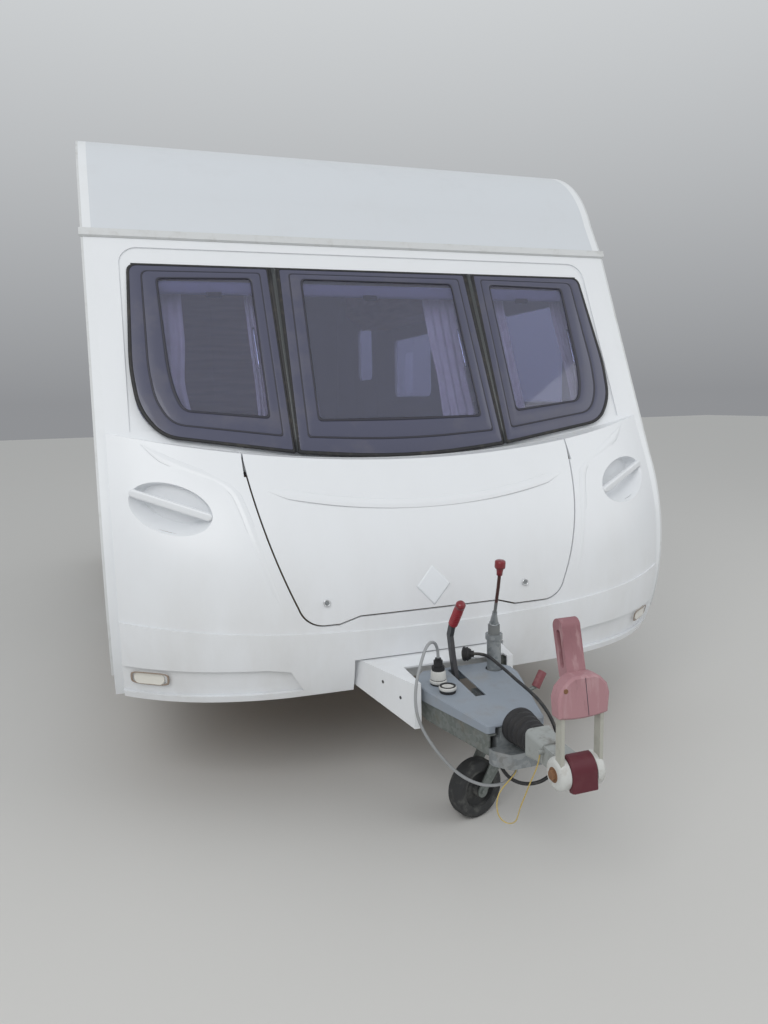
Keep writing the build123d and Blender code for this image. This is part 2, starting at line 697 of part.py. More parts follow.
with BuildPart() as wheel:
    with BuildSketch(Plane.XZ):
        with BuildLine():
            Polyline((-78, RIM_R + 12), (-78, RIM_R + 1.8), (78, RIM_R + 1.8), (78, RIM_R + 12), (82, RIM_R + 12),
                     (82, RIM_R + 2), (70, RIM_R - 8), (36, RIM_R - 12), (30, 156), (30, 104), (42, 88), (34, 44),
                     (62, 38), (62, 0), (22, 0), (22, 156), (26, RIM_R - 20), (-70, RIM_R - 8),
                     (-82, RIM_R + 2), (-82, RIM_R + 12), close=True)
        make_face()
    revolve(axis=Axis.X)
    for i in range(12):
        spoke = Plane(origin=(0, 0, 0), x_dir=(0, 1, 0), z_dir=(1, 0, 0)).rotated((i * 30, 0, 0))
        with BuildSketch(spoke):
            with Locations((0, 130)):
                SlotOverall(34, 20)
        extrude(amount=60, mode=Mode.SUBTRACT)

for name, hand in (("left", -1), ("right", 1)):
    hub = at(hand * TRACK_X, AXLE_S, TYRE_R)
    for kind, piece in (("tyre", tyre), ("wheel", wheel)):
        turned = piece.part if hand > 0 else mirrored(piece.part)
        with BuildPart() as placed:
            add(turned.moved(Location(hub)))
        save(f"{kind}_{name}", placed.part)

AXLE_Z = TYRE_R + 12
ARM = 150  # trailing arm, from the tube back to the wheel's centre
with BuildPart() as axle:
    tube_s = AXLE_S - ARM
    with BuildSketch(side(-TRACK_X + 165)):
        with Locations((tube_s, AXLE_Z)):
            RegularPolygon(52, 6)
    extrude(amount=2 * (TRACK_X - 165))
    for hand in (-1, 1):
        near = sorted((hand * (TRACK_X - 165), hand * (TRACK_X - 130)))
        slab(near, (tube_s - 55, AXLE_S + 45), (AXLE_Z - 50, AXLE_Z + 34))
        drum_a = at(hand * (TRACK_X - 130), AXLE_S, TYRE_R)
        rod(drum_a, at(hand * (TRACK_X - 40), AXLE_S, TYRE_R), 112)
        rod(at(hand * (TRACK_X - 41), AXLE_S, TYRE_R), at(hand * (TRACK_X + 21), AXLE_S, TYRE_R), 30)
    for hand in (-1, 1):
        slab(sorted((hand * (RAIL_X - 30), hand * (RAIL_X + 60))), (tube_s - 60, tube_s + 60),
             (AXLE_Z + 10, RAIL_Z[1]))
    add(chassis.part, mode=Mode.SUBTRACT)
save("axle", axle.part)

# Corner steadies, folded up under the floor towards the wheels
STEADY_LONG = 430
for name, hand, s, way in STEADIES:
    with BuildPart() as steady:
        pivot = at(hand * STEADY_X, s, STEADY_Z)
        rod(pivot - Vector(16, 0, 0), pivot + Vector(16, 0, 0), 16)
        ends = sorted((s, s + way * (STEADY_LONG - 60)))
        slab((hand * STEADY_X - 16, hand * STEADY_X + 16), ends, (STEADY_Z - 12, STEADY_Z + 14))
        foot = sorted((s + way * (STEADY_LONG - 70), s + way * STEADY_LONG))
        slab((hand * STEADY_X - 45, hand * STEADY_X + 45), foot, (STEADY_Z - 12, STEADY_Z - 4))
        slab((hand * STEADY_X - 12, hand * STEADY_X + 12), ends, (STEADY_Z - 13, STEADY_Z + 5), mode=Mode.SUBTRACT)
        slab((hand * STEADY_X - 16, hand * STEADY_X + 16), sorted((s + way * 2, s + way * 40)),
             (STEADY_Z - 12, STEADY_Z + 14))
        rod(pivot - Vector(20, 0, 0), pivot + Vector(20, 0, 0), 6.05, mode=Mode.SUBTRACT)
    save(f"steady_{name}", steady.part)

# White cover over the drawbar, with the grey housing in its middle; its left wing reaches further forward
FAIRING_Z = (430, 378, 528)  # lower edge at the back and at the front of the left wing, and its top
WING = ((-314, -262), (-211, -584))  # left wing's outer corners, at the bumper and at its front
WING_RIGHT = ((244, -262), (210, -455))
with BuildPart() as fairing:
    with BuildSketch(level(FAIRING_Z[1] - 10)):
        with BuildLine():
            Polyline(WING[0], WING[1], (0, WING[1][1]), (0, WING_RIGHT[1][1]), WING_RIGHT[1], WING_RIGHT[0],
                     close=True)
        make_face()
    extrude(amount=FAIRING_Z[2] - FAIRING_Z[1] + 10)
    with BuildSketch(side(-400)):
        with BuildLine():
            Polyline((WING[0][1] + 20, FAIRING_Z[0] + 3), (WING[1][1] - 20, FAIRING_Z[1] - 3), (WING[1][1] - 20, 300),
                     (WING[0][1] + 20, 300), close=True)
        make_face()
    extrude(amount=800, mode=Mode.SUBTRACT)
    offset(amount=-6, openings=fairing.faces().sort_by(Axis.Z)[:1], mode=Mode.REPLACE)
    slab((-188, 188), (-900, -424), (300, 700), mode=Mode.SUBTRACT)
    add(drawbar.part, mode=Mode.SUBTRACT)
save("fairing", fairing.part)

JOCKEY = (117, -493)  # across and station of the jockey wheel's tube

# Grey moulded cover of the overrun housing, narrowing towards the bellows
COVER_TOP = (509, 483)  # height of its top at the back and at the front
COVER_S = (-432, -862)
COVER_Z = 460
COVER_CREASE = -560  # station where its top starts to fall
TUBE_Z = 478  # height of the sliding tube behind the coupling
SLOT = (-39, -3, -672, -450)  # opening for the handbrake lever: across, stations


def cover_block(inset):
    """Tapering block with a sloped top, smaller by the inset on every side but its bottom."""
    with BuildPart() as block:
        with BuildSketch(level(COVER_Z)) as plan:
            with BuildLine() as edge:
                Polyline((-122, COVER_S[0]), (-180, -492), (-180, -545), (-94, COVER_S[1]), (94, COVER_S[1]),
                         (180, -545), (180, -492), (122, COVER_S[0]), close=True)
            make_face(edge.edges())
            if inset:
                offset(amount=-inset, kind=Kind.INTERSECTION, mode=Mode.REPLACE)
            fillet(plan.vertices(), 12 - inset)
        extrude(plan.sketch, amount=90)
        with BuildSketch(side(-300)) as above:
            with BuildLine() as slope:
                Polyline((COVER_S[0] + 20, COVER_TOP[0] - inset), (COVER_CREASE, COVER_TOP[0] - 7 - inset),
                         (COVER_S[1] - 20, COVER_TOP[1] - inset), (COVER_S[1] - 20, 700), (COVER_S[0] + 20, 700),
                         close=True)
            make_face(slope.edges())
        extrude(above.sketch, amount=600, mode=Mode.SUBTRACT)
        if not inset:
            top = block.faces().filter_by(lambda f: f.normal_at().Z > 0.9)
            chamfer(top.edges().filter_by(lambda e: abs(e.center().Y - Y0 - COVER_CREASE) > 1), 3)
    return block.part


cover_outside, cover_inside = cover_block(0), cover_block(4)
with BuildPart() as hitch_cover:
    add(cover_outside)
    add(cover_inside, mode=Mode.SUBTRACT)
    slab(SLOT[:2], SLOT[2:], (470, 600), mode=Mode.SUBTRACT)
    slab((-69, 69), (-900, -848), (400, 477), mode=Mode.SUBTRACT)
    rod(at(*JOCKEY, 400), at(*JOCKEY, 700), 29, mode=Mode.SUBTRACT)
save("hitch_cover", hitch_cover.part)

# Overrun housing between the drawbar's rails, with its nose under the bellows
NOSE_Z = (372, 418)
with BuildPart() as overrun:
    slab((-66, 66), (-866, -560), (BAR_Z[0], 446))
    with BuildSketch(front(-560)):
        with Locations((0, 454)):
            RectangleRounded(110, 40, 10)
    extrude(amount=304)
    rod(at(0, -868, TUBE_Z), at(0, -863, TUBE_Z), 26)
    with BuildSketch(level(NOSE_Z[0])):
        with BuildLine():
            Polyline((-90, -864), (-88, -884), (-52, -928), (52, -928), (88, -884), (90, -864), close=True)
        make_face()
    extrude(amount=NOSE_Z[1] - NOSE_Z[0])
    slab((-48, 0), (-690, -440), (380, 600), mode=Mode.SUBTRACT)
save("overrun", overrun.part)

RIBS = 5
RIB_PITCH = 23.2
with BuildPart() as bellows:
    with BuildSketch(side(0)):
        with BuildLine():
            outline = [(-869, 24)]
            for i in range(RIBS):
                s = -869 - i * RIB_PITCH
                swell = 54 - 3 * i
                outline += [(s, swell - 8), (s - 6, swell), (s - 15, swell), (s - 21, swell - 8)]
            outline += [(-869 - RIBS * RIB_PITCH, 34), (-869 - RIBS * RIB_PITCH, 24)]
            Polyline(*[(a, TUBE_Z + b) for a, b in outline], close=True)
        make_face()
    revolve(axis=Axis(at(0, 0, TUBE_Z), (0, 1, 0)))
save("bellows", bellows.part)

# Coupling head: a pressed body on the sliding tube, with a socket for a 50 mm ball
BALL = (-1166, 462)  # station and height of the ball's centre
BALL_R = 25.3
CUP_R = 34
HEAD_BACK = -869 - RIBS * RIB_PITCH
CABLE_EYE = (-1064, 488)  # station and height of the lug that holds the breakaway cable
with BuildPart() as coupling_head:
    rod(at(0, -868, TUBE_Z), at(0, HEAD_BACK - 40, TUBE_Z), 23.5)
    rod(at(-30, *CABLE_EYE), at(-46, *CABLE_EYE), 6)
    with BuildSketch(front(HEAD_BACK - 2)):
        with Locations((0, TUBE_Z)):
            RectangleRounded(82, 84, 16)
    with BuildSketch(front(HEAD_BACK - 78)):
        with Locations((0, TUBE_Z)):
            RectangleRounded(68, 58, 12)
    loft()
    with BuildSketch(level(BALL[1] - 13)):
        with Locations((0, BALL[0] + 60)):
            Rectangle(60, 120)
    extrude(amount=54)
    with BuildSketch(level(BALL[1] - 24)):
        with Locations((0, BALL[0])):
            Circle(CUP_R)
    extrude(amount=74)
    with BuildSketch(level(BALL[1] - 24)):
        with Locations((0, BALL[0])):
            Circle(BALL_R)
    extrude(amount=46, mode=Mode.SUBTRACT)
save("coupling_head", coupling_head.part)

# Friction cheeks: round cream bosses each side of the ball, pinned to the head
CHEEK = (-1172, 481)  # station and height of their centre
CHEEK_R = 43
CHEEK_X = (38.5, 66)
with BuildPart() as cheeks:
    for hand in (-1, 1):
        with BuildSketch(side(hand * CHEEK_X[0])):
            with Locations(CHEEK):
                Circle(CHEEK_R)
        extrude(amount=hand * (CHEEK_X[1] - CHEEK_X[0]))
        fillet(cheeks.faces().sort_by(Axis.X)[-1 if hand > 0 else 0].edges(), 14)
        rod(at(hand * 27, *CHEEK), at(hand * (CHEEK_X[0] + 1), *CHEEK), 14)
    add(coupling_head.part, mode=Mode.SUBTRACT)
save("cheeks", cheeks.part)

# Dark red buffer over the nose of the cup
with BuildPart() as soft_dock:
    with BuildSketch(side(-37)):
        with BuildLine():
            ThreePointArc((-1176, 532), (-1204, 519), (-1217, 490))
            Polyline((-1217, 490), (-REACH, 446), (-1201, 443), (-1201, 513), (-1176, 513), (-1176, 532))
        make_face()
    extrude(amount=74)
    chamfer(soft_dock.edges().filter_by(GeomType.CIRCLE), 4)
save("soft_dock", soft_dock.part)

# Stabiliser handle, raised: two flat arms from the cheeks to a moulded grip
ARM_S = (-1199, -1173)
ARM_X = (51, 61)
ARM_TOP = 655
with BuildPart() as handle_arms:
    for hand in (-1, 1):
        slab(sorted((hand * ARM_X[0], hand * ARM_X[1])), ARM_S, (CHEEK[1], ARM_TOP))
    add(cheeks.part, mode=Mode.SUBTRACT)
save("handle_arms", handle_arms.part)

# Grip: a broad block over the arms, with a loop for the hand that leans back over it
GRIP_S = (-1207, -1163)
LOOP_X = 27  # half width of the loop
with BuildPart() as stabiliser_grip:
    with BuildSketch(front(GRIP_S[0])):
        with BuildLine():
            Polyline((-70, 640), (-74, 690), (-66, 716), (-46, 736), (-30, 744), (30, 744), (46, 736), (66, 716),
                     (74, 690), (70, 640))
            ThreePointArc((70, 640), (0, 633), (-70, 640))
        make_face()
    extrude(amount=GRIP_S[0] - GRIP_S[1])
    chamfer(stabiliser_grip.edges().filter_by(lambda e: abs(e.tangent_at(0.5).Y) < 0.1), 6)
    with BuildSketch(side(-LOOP_X)):
        with BuildLine():
            Polyline((-1172, 725), (-1141, 846))
            ThreePointArc((-1141, 846), (-1117, 868), (-1098, 842))
            Polyline((-1098, 842), (-1132, 720), (-1172, 725))
        make_face()
        with Locations((-1134, 794)):
            SlotOverall(96, 17, rotation=75, mode=Mode.SUBTRACT)
    extrude(amount=2 * LOOP_X)
    add(handle_arms.part, mode=Mode.SUBTRACT)
save("stabiliser_grip", stabiliser_grip.part)

# Handbrake: a flat curved lever through the slot in the cover, and its grip
BRAKE_X = -21
BRAKE = ((-508, 413.2), (-484, 480), (-456, 560), (-438, 624), (-455, 662))  # stations and heights
with BuildPart() as handbrake:
    with BuildSketch(side(BRAKE_X - 7)):
        for (s0, z0), (s1, z1) in zip(BRAKE, BRAKE[1:]):
            middle = ((s0 + s1) / 2, (z0 + z1) / 2)
            turn = math.degrees(math.atan2(z1 - z0, s1 - s0))
            with Locations(Location(middle, turn)):
                SlotCenterToCenter(math.hypot(s1 - s0, z1 - z0), 26)
    extrude(amount=14)
    a, b = at(BRAKE_X, -462, 668), at(BRAKE_X, -531, 758)
    rod(a, b, 15)
    fillet(handbrake.edges().sort_by(Axis.Z)[-1:], 9)
save("handbrake", handbrake.part)

# Jockey wheel: clamped outer tube, sliding leg with fork, wheel and crank
JOCKEY_TUBE_Z = (335, 628)
JOCKEY_R = 100
JOCKEY_W = 62
TRAIL = (-86, -24)  # from the tube to the wheel's centre
with BuildPart() as jockey_tube:
    rod(at(*JOCKEY, JOCKEY_TUBE_Z[0]), at(*JOCKEY, JOCKEY_TUBE_Z[1]), 24)
    rod(at(*JOCKEY, JOCKEY_TUBE_Z[1] - 18), at(*JOCKEY, JOCKEY_TUBE_Z[1]), 29)
    rod(at(*JOCKEY, JOCKEY_TUBE_Z[0] - 1), at(*JOCKEY, JOCKEY_TUBE_Z[1] - 30), 21, mode=Mode.SUBTRACT)
save("jockey_tube", jockey_tube.part)

CRANK = ((117, -493, 660), (112, -508, 700), (88, -580, 812), (80, -604, 860))
with BuildPart() as jockey_crank:
    rod(at(*JOCKEY, JOCKEY_TUBE_Z[1]), at(*JOCKEY, JOCKEY_TUBE_Z[1] + 32), 20)
    points = [at(*p) for p in CRANK]
    for a, b in zip(points, points[1:]):
        rod(a, b, 5.5)
    for p in points[1:-1]:
        with Locations(p):
            Sphere(5.5)
    a = at(*CRANK[-1])
    rod(a, a + Vector(0, -4, 24), 9)
    rod(a + Vector(0, -4, 24), a + Vector(0, -7, 46), 16)
    fillet(jockey_crank.edges().group_by(Axis.Z)[-1], 6)
save("jockey_crank", jockey_crank.part)

WHEEL_AT = (JOCKEY[0] + TRAIL[0], JOCKEY[1] + TRAIL[1])
reach = math.hypot(*TRAIL)
roll = (TRAIL[0] / reach, TRAIL[1] / reach)  # direction that the wheel trails in
across = (-roll[1], roll[0])  # direction of its axle
wheel_origin = at(*WHEEL_AT, JOCKEY_R)
jockey_plane = Plane(origin=wheel_origin, x_dir=(*roll, 0), z_dir=(roll[1], -roll[0], 0))
with BuildPart() as jockey_leg:
    rod(at(*JOCKEY, 236), at(*JOCKEY, 500), 20.5)
    rod(at(*JOCKEY, 226), at(*JOCKEY, 236), 30)
save("jockey_leg", jockey_leg.part)

with BuildPart() as jockey_fork:
    with BuildSketch(jockey_plane.offset(-JOCKEY_W / 2 - 12)):
        with Locations((0, 0)):
            Circle(20)
        with BuildLine():
            Polyline((-20, 0), (-122, 118), (-122, 124), (-56, 124), (18, 10), close=True)
        make_face()
    extrude(amount=5)
    with BuildSketch(jockey_plane.offset(JOCKEY_W / 2 + 7)):
        with Locations((0, 0)):
            Circle(20)
        with BuildLine():
            Polyline((-20, 0), (-122, 118), (-122, 124), (-56, 124), (18, 10), close=True)
        make_face()
    extrude(amount=5)
    with BuildSketch(Plane(origin=at(*JOCKEY, 219.5), x_dir=(*roll, 0), z_dir=(0, 0, 1))):
        RectangleRounded(66, JOCKEY_W + 24, 6)
    extrude(amount=6)
    reach = Vector(*across, 0) * (JOCKEY_W / 2 + 16)
    rod(wheel_origin - reach, wheel_origin + reach, 8)
save("jockey_fork", jockey_fork.part)

with BuildPart() as jockey_wheel:
    with BuildSketch(Plane.XZ):
        with BuildLine():
            half = JOCKEY_W / 2
            Polyline((-half - 2, 8.06), (-half - 2, 22), (-14, 26), (-14, 58), (-half + 4, 62), (-half, 74),
                     (-half, 88), (-half + 6, JOCKEY_R - 3), (-half + 14, JOCKEY_R), (half - 14, JOCKEY_R),
                     (half - 6, JOCKEY_R - 3), (half, 88), (half, 74), (half - 4, 62), (14, 58), (14, 26),
                     (half + 2, 22), (half + 2, 8.06), close=True)
        make_face()
    revolve(axis=Axis.X)
turned = Plane(origin=wheel_origin, x_dir=(*across, 0), z_dir=(0, 0, 1)).location
with BuildPart() as jockey_wheel_placed:
    add(jockey_wheel.part.moved(turned))
save("jockey_wheel", jockey_wheel_placed.part)

# Clamp of the jockey tube on the right-hand rail, with a lever that reaches out under the fairing
with BuildPart() as jockey_clamp:
    with BuildSketch(level(340)):
        with Locations((JOCKEY[0], JOCKEY[1])):
            Circle(33)
        with Locations((JOCKEY[0] + 39, JOCKEY[1] + 10)):
            Rectangle(58, 40)
        with Locations((JOCKEY[0], JOCKEY[1])):
            Circle(24.05, mode=Mode.SUBTRACT)
    extrude(amount=88)
    add(drawbar.part, mode=Mode.SUBTRACT)
    rod(at(JOCKEY[0] + 43, JOCKEY[1] + 12, 372), at(318, -428, 384), 7)
    rod(at(318, -428, 384), at(350, -420, 432), 14)
save("jockey_clamp", jockey_clamp.part)

# Two sockets on top of the cover: one holds its plug, the other stands open
SOCKETS = ((-108, -612, 496.5), (-112, -546, 500.8))  # across, station, height of the base
SOCKET_TOP = 520
with BuildPart() as sockets:
    for i, (x, s, base) in enumerate(SOCKETS):
        rod(at(x, s, base), at(x, s, SOCKET_TOP), 26)
        if i == 0:
            rod(at(x, s, SOCKET_TOP - 9), at(x, s, SOCKET_TOP + 9), 20, mode=Mode.SUBTRACT)
    add(hitch_cover.part, mode=Mode.SUBTRACT)
save("sockets", sockets.part)

PLUG_TOP = 590
BLACK_PLUG = ((24, -441.3, 551.3), (46, -458.4, 554.4), (54, -464.6, 555.4))
with BuildPart() as plugs:
    x, s, _ = SOCKETS[1]
    rod(at(x, s, SOCKET_TOP + 0.2), at(x, s, 562), 21)
    rod(at(x, s, 562), at(x, s, PLUG_TOP - 8), 15)
    rod(at(x, s, PLUG_TOP - 8), at(x, s, PLUG_TOP), 10)
    tail, waist, mouth = (at(*p) for p in BLACK_PLUG)
    rod(tail, waist, 17)
    rod(waist, mouth, 11)
save("plugs", plugs.part)

# Furniture that shows through the windows and the open door, made of boards
FLOOR_TOP = FLOOR_Z + FLOOR
BENCH = (700, 400)  # how far a bench stands out from the wall, and its height
BENCH_S = (146, 1900)
DRAWERS_Z = 945
BOARD_GAP = 0.5  # between boards, so that each is a solid of its own
with BuildPart() as lounge_furniture:
    seat = FLOOR_TOP + BENCH[1]
    for hand in (-1, 1):
        wall, aisle = hand * INNER, hand * (INNER - BENCH[0])
        slab(sorted((aisle, aisle + hand * 18)), (BENCH_S[0] + BOARD_GAP, BENCH_S[1] - 18 - BOARD_GAP),
             (FLOOR_TOP, seat - BOARD_GAP))
        slab(sorted((wall, aisle)), (BENCH_S[1] - 18, BENCH_S[1]), (FLOOR_TOP, seat - BOARD_GAP))
        slab(sorted((wall, aisle)), (BENCH_S[0] + BOARD_GAP, BENCH_S[1]), (seat, seat + 16))
    slab((-INNER, INNER), (BENCH_S[0] - 18, BENCH_S[0]), (FLOOR_TOP, 1150))
    for hand in (-1, 1):
        slab(sorted((hand * 345, hand * 360)), (BENCH_S[0] + BOARD_GAP, 545 - BOARD_GAP),
             (FLOOR_TOP, DRAWERS_Z - BOARD_GAP))
    slab((-360, 360), (545, 560), (FLOOR_TOP, DRAWERS_Z - BOARD_GAP))
    slab((-380, 380), (BENCH_S[0] + BOARD_GAP, 580), (DRAWERS_Z, DRAWERS_Z + 22))
    for hand in (-1, 1):
        wall, edge = hand * INNER, hand * (INNER - 330)
        with BuildSketch(front(3300)) as locker:
            with BuildLine():
                Polyline((wall, 1960), (hand * (INNER - 200), 1960), (edge, 2060), (edge, 2360), (wall, 2360), close=True)
            make_face()
        with BuildSketch(front(3285)) as hollow:
            with BuildLine():
                Polyline((wall, 1975), (hand * (INNER - 195), 1975), (edge + hand * 15, 2068), (edge + hand * 15, 2345),
                         (wall, 2345), close=True)
            make_face()
        extrude(locker.sketch, amount=2500)
        extrude(hollow.sketch, amount=2470, mode=Mode.SUBTRACT)
save("lounge_furniture", lounge_furniture.part)

SEAT_Z = FLOOR_TOP + BENCH[1] + 17
with BuildPart() as cushions:
    for hand in (-1, 1):
        wall, aisle = hand * (INNER - 12), hand * (INNER - BENCH[0] + 4)
        slab(sorted((wall, aisle)), (190, 1880), (SEAT_Z, SEAT_Z + 140))
        slab(sorted((hand * (INNER - 12), hand * (INNER - 140))), (340, 1880), (SEAT_Z + 143, SEAT_Z + 480))
save("cushions", cushions.part)

# Kitchen along the far wall and the washroom's walls and door
with BuildPart() as kitchen_furniture:
    slab((-INNER + 545, -INNER + 560), (2000, 3300), (FLOOR_TOP, 1290))
    for s in (2000, 3285):
        slab((-INNER, -INNER + 560), (s, s + 15), (FLOOR_TOP, 1290))
    slab((-INNER, -INNER + 590), (1990, 3310), (1290, 1322))
    slab((-INNER, 300), (3880, 3900), (FLOOR_TOP, 2450))
    slab((280, 300), (3900, 4820), (FLOOR_TOP, 2380))
    slab((-250, 150), (3870, 3880), (FLOOR_TOP + 40, 2260))
    with BuildSketch(side(-HALF - 10)):
        body_outline()
        offset(amount=-WALL - 2, mode=Mode.REPLACE)
    extrude(amount=2 * HALF + 20, mode=Mode.INTERSECT)
save("kitchen_furniture", kitchen_furniture.part)

# Curtains beside the front windows: a thin gathered panel at each side of each pane
CURTAINS = ((-925, -800), (-560, -470), (-385, -300), (290, 380), (470, 580), (830, 930))
CURTAIN_IN = 92  # how far the curtains hang behind the panes
with BuildPart() as curtains:
    for x0, x1 in CURTAINS:
        with BuildSketch(side(x0)):
            with BuildLine():
                lean = PANE_LEAN * 0.97
                Polyline((PANE_S + CURTAIN_IN + 30, PANE_Z + 30), (PANE_S + CURTAIN_IN + 30 + lean * 620, PANE_Z + 650),
                         (PANE_S + CURTAIN_IN + 58 + lean * 620, PANE_Z + 650), (PANE_S + CURTAIN_IN + 58, PANE_Z + 30),
                         close=True)
            make_face()
        extrude(amount=x1 - x0)
save("curtains", curtains.part)

# Free cables: points of each route (across, station, height), straight runs joined by arcs
GREY = ((-112, -546, 590), (-112, -546, 599.5), (-114.2, -548, 618), (-120.8, -554, 635), (-130.5, -562.8, 648),
        (-142.7, -573.8, 656), (-156.4, -586.2, 659), (-170, -598.6, 656), (-182.5, -610, 647.5),
        (-193.5, -620, 633), (-206, -631, 612), (-223, -645, 580), (-235, -657, 540), (-240, -666, 496),
        (-233, -671, 450), (-214, -676, 403), (-187, -681, 356), (-153, -686, 308), (-115, -692, 264),
        (-72, -700, 231), (-28, -714, 214), (12, -733, 218), (38, -751, 238), (54, -765, 268), (60, -770, 306),
        (61, -771, 350), (60, -770, 394))
BLACK = ((54, -464.6, 555.4), (63.7, -472.2, 556.5), (73.1, -482.6, 557.2), (80.3, -494.6, 557.5),
         (85.1, -507.8, 557), (88.2, -527.5, 556), (90, -565, 552), (91, -610, 548), (91, -655, 544),
         (90, -700, 540), (91, -745, 536), (94, -790, 529), (99, -832, 516), (105, -868, 493),
         (110, -895, 462), (112, -912, 426), (110, -919, 388), (102, -918, 352), (85, -911, 322),
         (58, -902, 303), (24, -891, 297), (-10, -879, 305), (-36, -866, 326), (-50, -856, 357), (-55, -851, 393))
YELLOW = ((-41, -1064, 482), (-42, -1062, 464), (-47, -1053, 430), (-55, -1038, 390), (-61, -1022, 345),
          (-66, -1006, 306), (-70, -999.5, 277), (-73, -996, 261), (-80, -988.3, 250), (-90, -977, 246),
          (-100, -966, 250), (-107, -957.6, 261), (-110, -954, 276), (-110, -950, 296), (-102, -945, 318),
          (-82, -937, 334), (-56, -926, 344), (-34, -914, 351), (-21, -904, 360), (-17.5, -899.5, 371.3))
CORDS = (("grey_cable", GREY, 10), ("black_cable", BLACK, 11), ("breakaway_cable", YELLOW, 3.5))


def bend_radii(points):
    """Largest arc radius at each inner point of a route, from its shorter run and its turn."""
    radii = []
    for a, b, c in zip(points, points[1:], points[2:]):
        turn = math.radians((b - a).get_angle(c - b))
        radii.append(0.45 * min((b - a).length, (c - b).length) / math.tan(turn / 2))
    return radii


for name, route, diameter in CORDS:
    points = [at(*p) for p in route]
    radii = bend_radii(points)
    with BuildPart() as cord:
        with BuildLine() as path:
            FilletPolyline(*points, radius=radii)
        with BuildSketch(Plane(origin=points[0], z_dir=points[1] - points[0])):
            Circle(diameter / 2)
        sweep(path=path.line)
    section = math.pi * diameter**2 / 4
    print(name, "radii over diameter", [round(r / diameter, 1) for r in radii])
    length = sum(edge.length for edge in path.line.edges())
    print(name, "length", round(length, 1), "volume ratio", round(cord.part.volume / section / length, 4))
    save(name, cord.part)
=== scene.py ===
"""Looks of a touring caravan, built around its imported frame.

Lengths are metres in the frame's axes: X to the door side, Y to the rear, Z up. A station is a
distance behind the body's front corners, so world Y is FRONT_Y plus the station.
"""

import logging  # noqa: E402
import math  # noqa: E402
from dataclasses import dataclass, field  # noqa: E402
from enum import Enum  # noqa: E402
from typing import Callable, Sequence  # noqa: E402

import bmesh  # noqa: E402
import bpy  # noqa: E402
import numpy as np  # noqa: E402
from mathutils import Matrix, Vector  # noqa: E402


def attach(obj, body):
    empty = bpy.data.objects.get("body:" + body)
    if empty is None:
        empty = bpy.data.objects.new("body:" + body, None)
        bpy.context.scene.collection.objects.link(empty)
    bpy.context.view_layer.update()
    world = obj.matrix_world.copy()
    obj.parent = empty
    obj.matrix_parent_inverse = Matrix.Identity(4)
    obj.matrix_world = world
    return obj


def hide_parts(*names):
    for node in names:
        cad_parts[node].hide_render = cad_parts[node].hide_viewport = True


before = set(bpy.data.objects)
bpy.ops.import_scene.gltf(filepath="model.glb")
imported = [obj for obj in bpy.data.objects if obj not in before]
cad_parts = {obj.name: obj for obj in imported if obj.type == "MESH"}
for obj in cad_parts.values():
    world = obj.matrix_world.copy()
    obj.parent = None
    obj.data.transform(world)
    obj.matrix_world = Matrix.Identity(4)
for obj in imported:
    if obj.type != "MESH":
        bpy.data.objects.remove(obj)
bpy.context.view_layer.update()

log = logging.getLogger("caravan")
logging.basicConfig(level=logging.INFO, format="%(name)s: %(message)s")

# The body: where its front corners stand, its half width at the walls, and its front in profile,
# a bulge between skirt and shoulder and a slope from there to the seam with the roof
FRONT_Y = -1.8395
HALF = 1.114
SKIRT, SHOULDER = 0.415, 1.165
BULGE = 0.093
SEAM_S, SEAM_Z = 0.386, 2.054
# Forward bow of the front for each metre below the seam, and the half width that it spans
BOW, BOW_HALF = 0.1675, 1.1
# Plane of the front windows: a point on it, and its slope
PANE_S, PANE_Z, PANE_LEAN = 0.012, 1.236, 0.473
PANE_UP = math.sqrt(1 + PANE_LEAN**2)
# Road wheels
AXLE_S, TYRE_R, TRACK_X = 2.680, 0.318, 0.985

Array = np.ndarray
Color = tuple[float, float, float]
Socket = bpy.types.NodeSocket
Feed = Socket | float | tuple
Surface = Callable[[Array, Array, Array | float], Array]


class Operation(Enum):
    """What a node does with two values."""

    ADD = "ADD"
    MULTIPLY = "MULTIPLY"


class Body(Enum):
    """Rigid bodies of the frame that pieces ride on."""

    CARAVAN = "caravan"
    LID = "locker_lid"
    WHEEL_LEFT = "wheel_left"
    WHEEL_RIGHT = "wheel_right"


# Shapes: grids of points turned into meshes
def place(points: Array | Sequence) -> Array:
    """Move points given by across, station and height into the frame."""
    return np.asarray(points, float) + np.array([0.0, FRONT_Y, 0.0])


def mesh_object(verts: Array, faces: Array | list, smooth: bool = True) -> bpy.types.Object:
    """Make an object from vertices and faces, not named yet.

    Args:
        verts: Points, one row each.
        faces: Vertex numbers, one row or list a face.
        smooth: Whether the faces shade smoothly.

    Returns:
        The linked object, at the origin.
    """
    mesh = bpy.data.meshes.new("form")
    mesh.from_pydata(verts.tolist(), [], faces if isinstance(faces, list) else faces.tolist())
    mesh.polygons.foreach_set("use_smooth", np.full(len(mesh.polygons), smooth))
    mesh.update()
    obj = bpy.data.objects.new("form", mesh)
    bpy.context.scene.collection.objects.link(obj)
    return obj


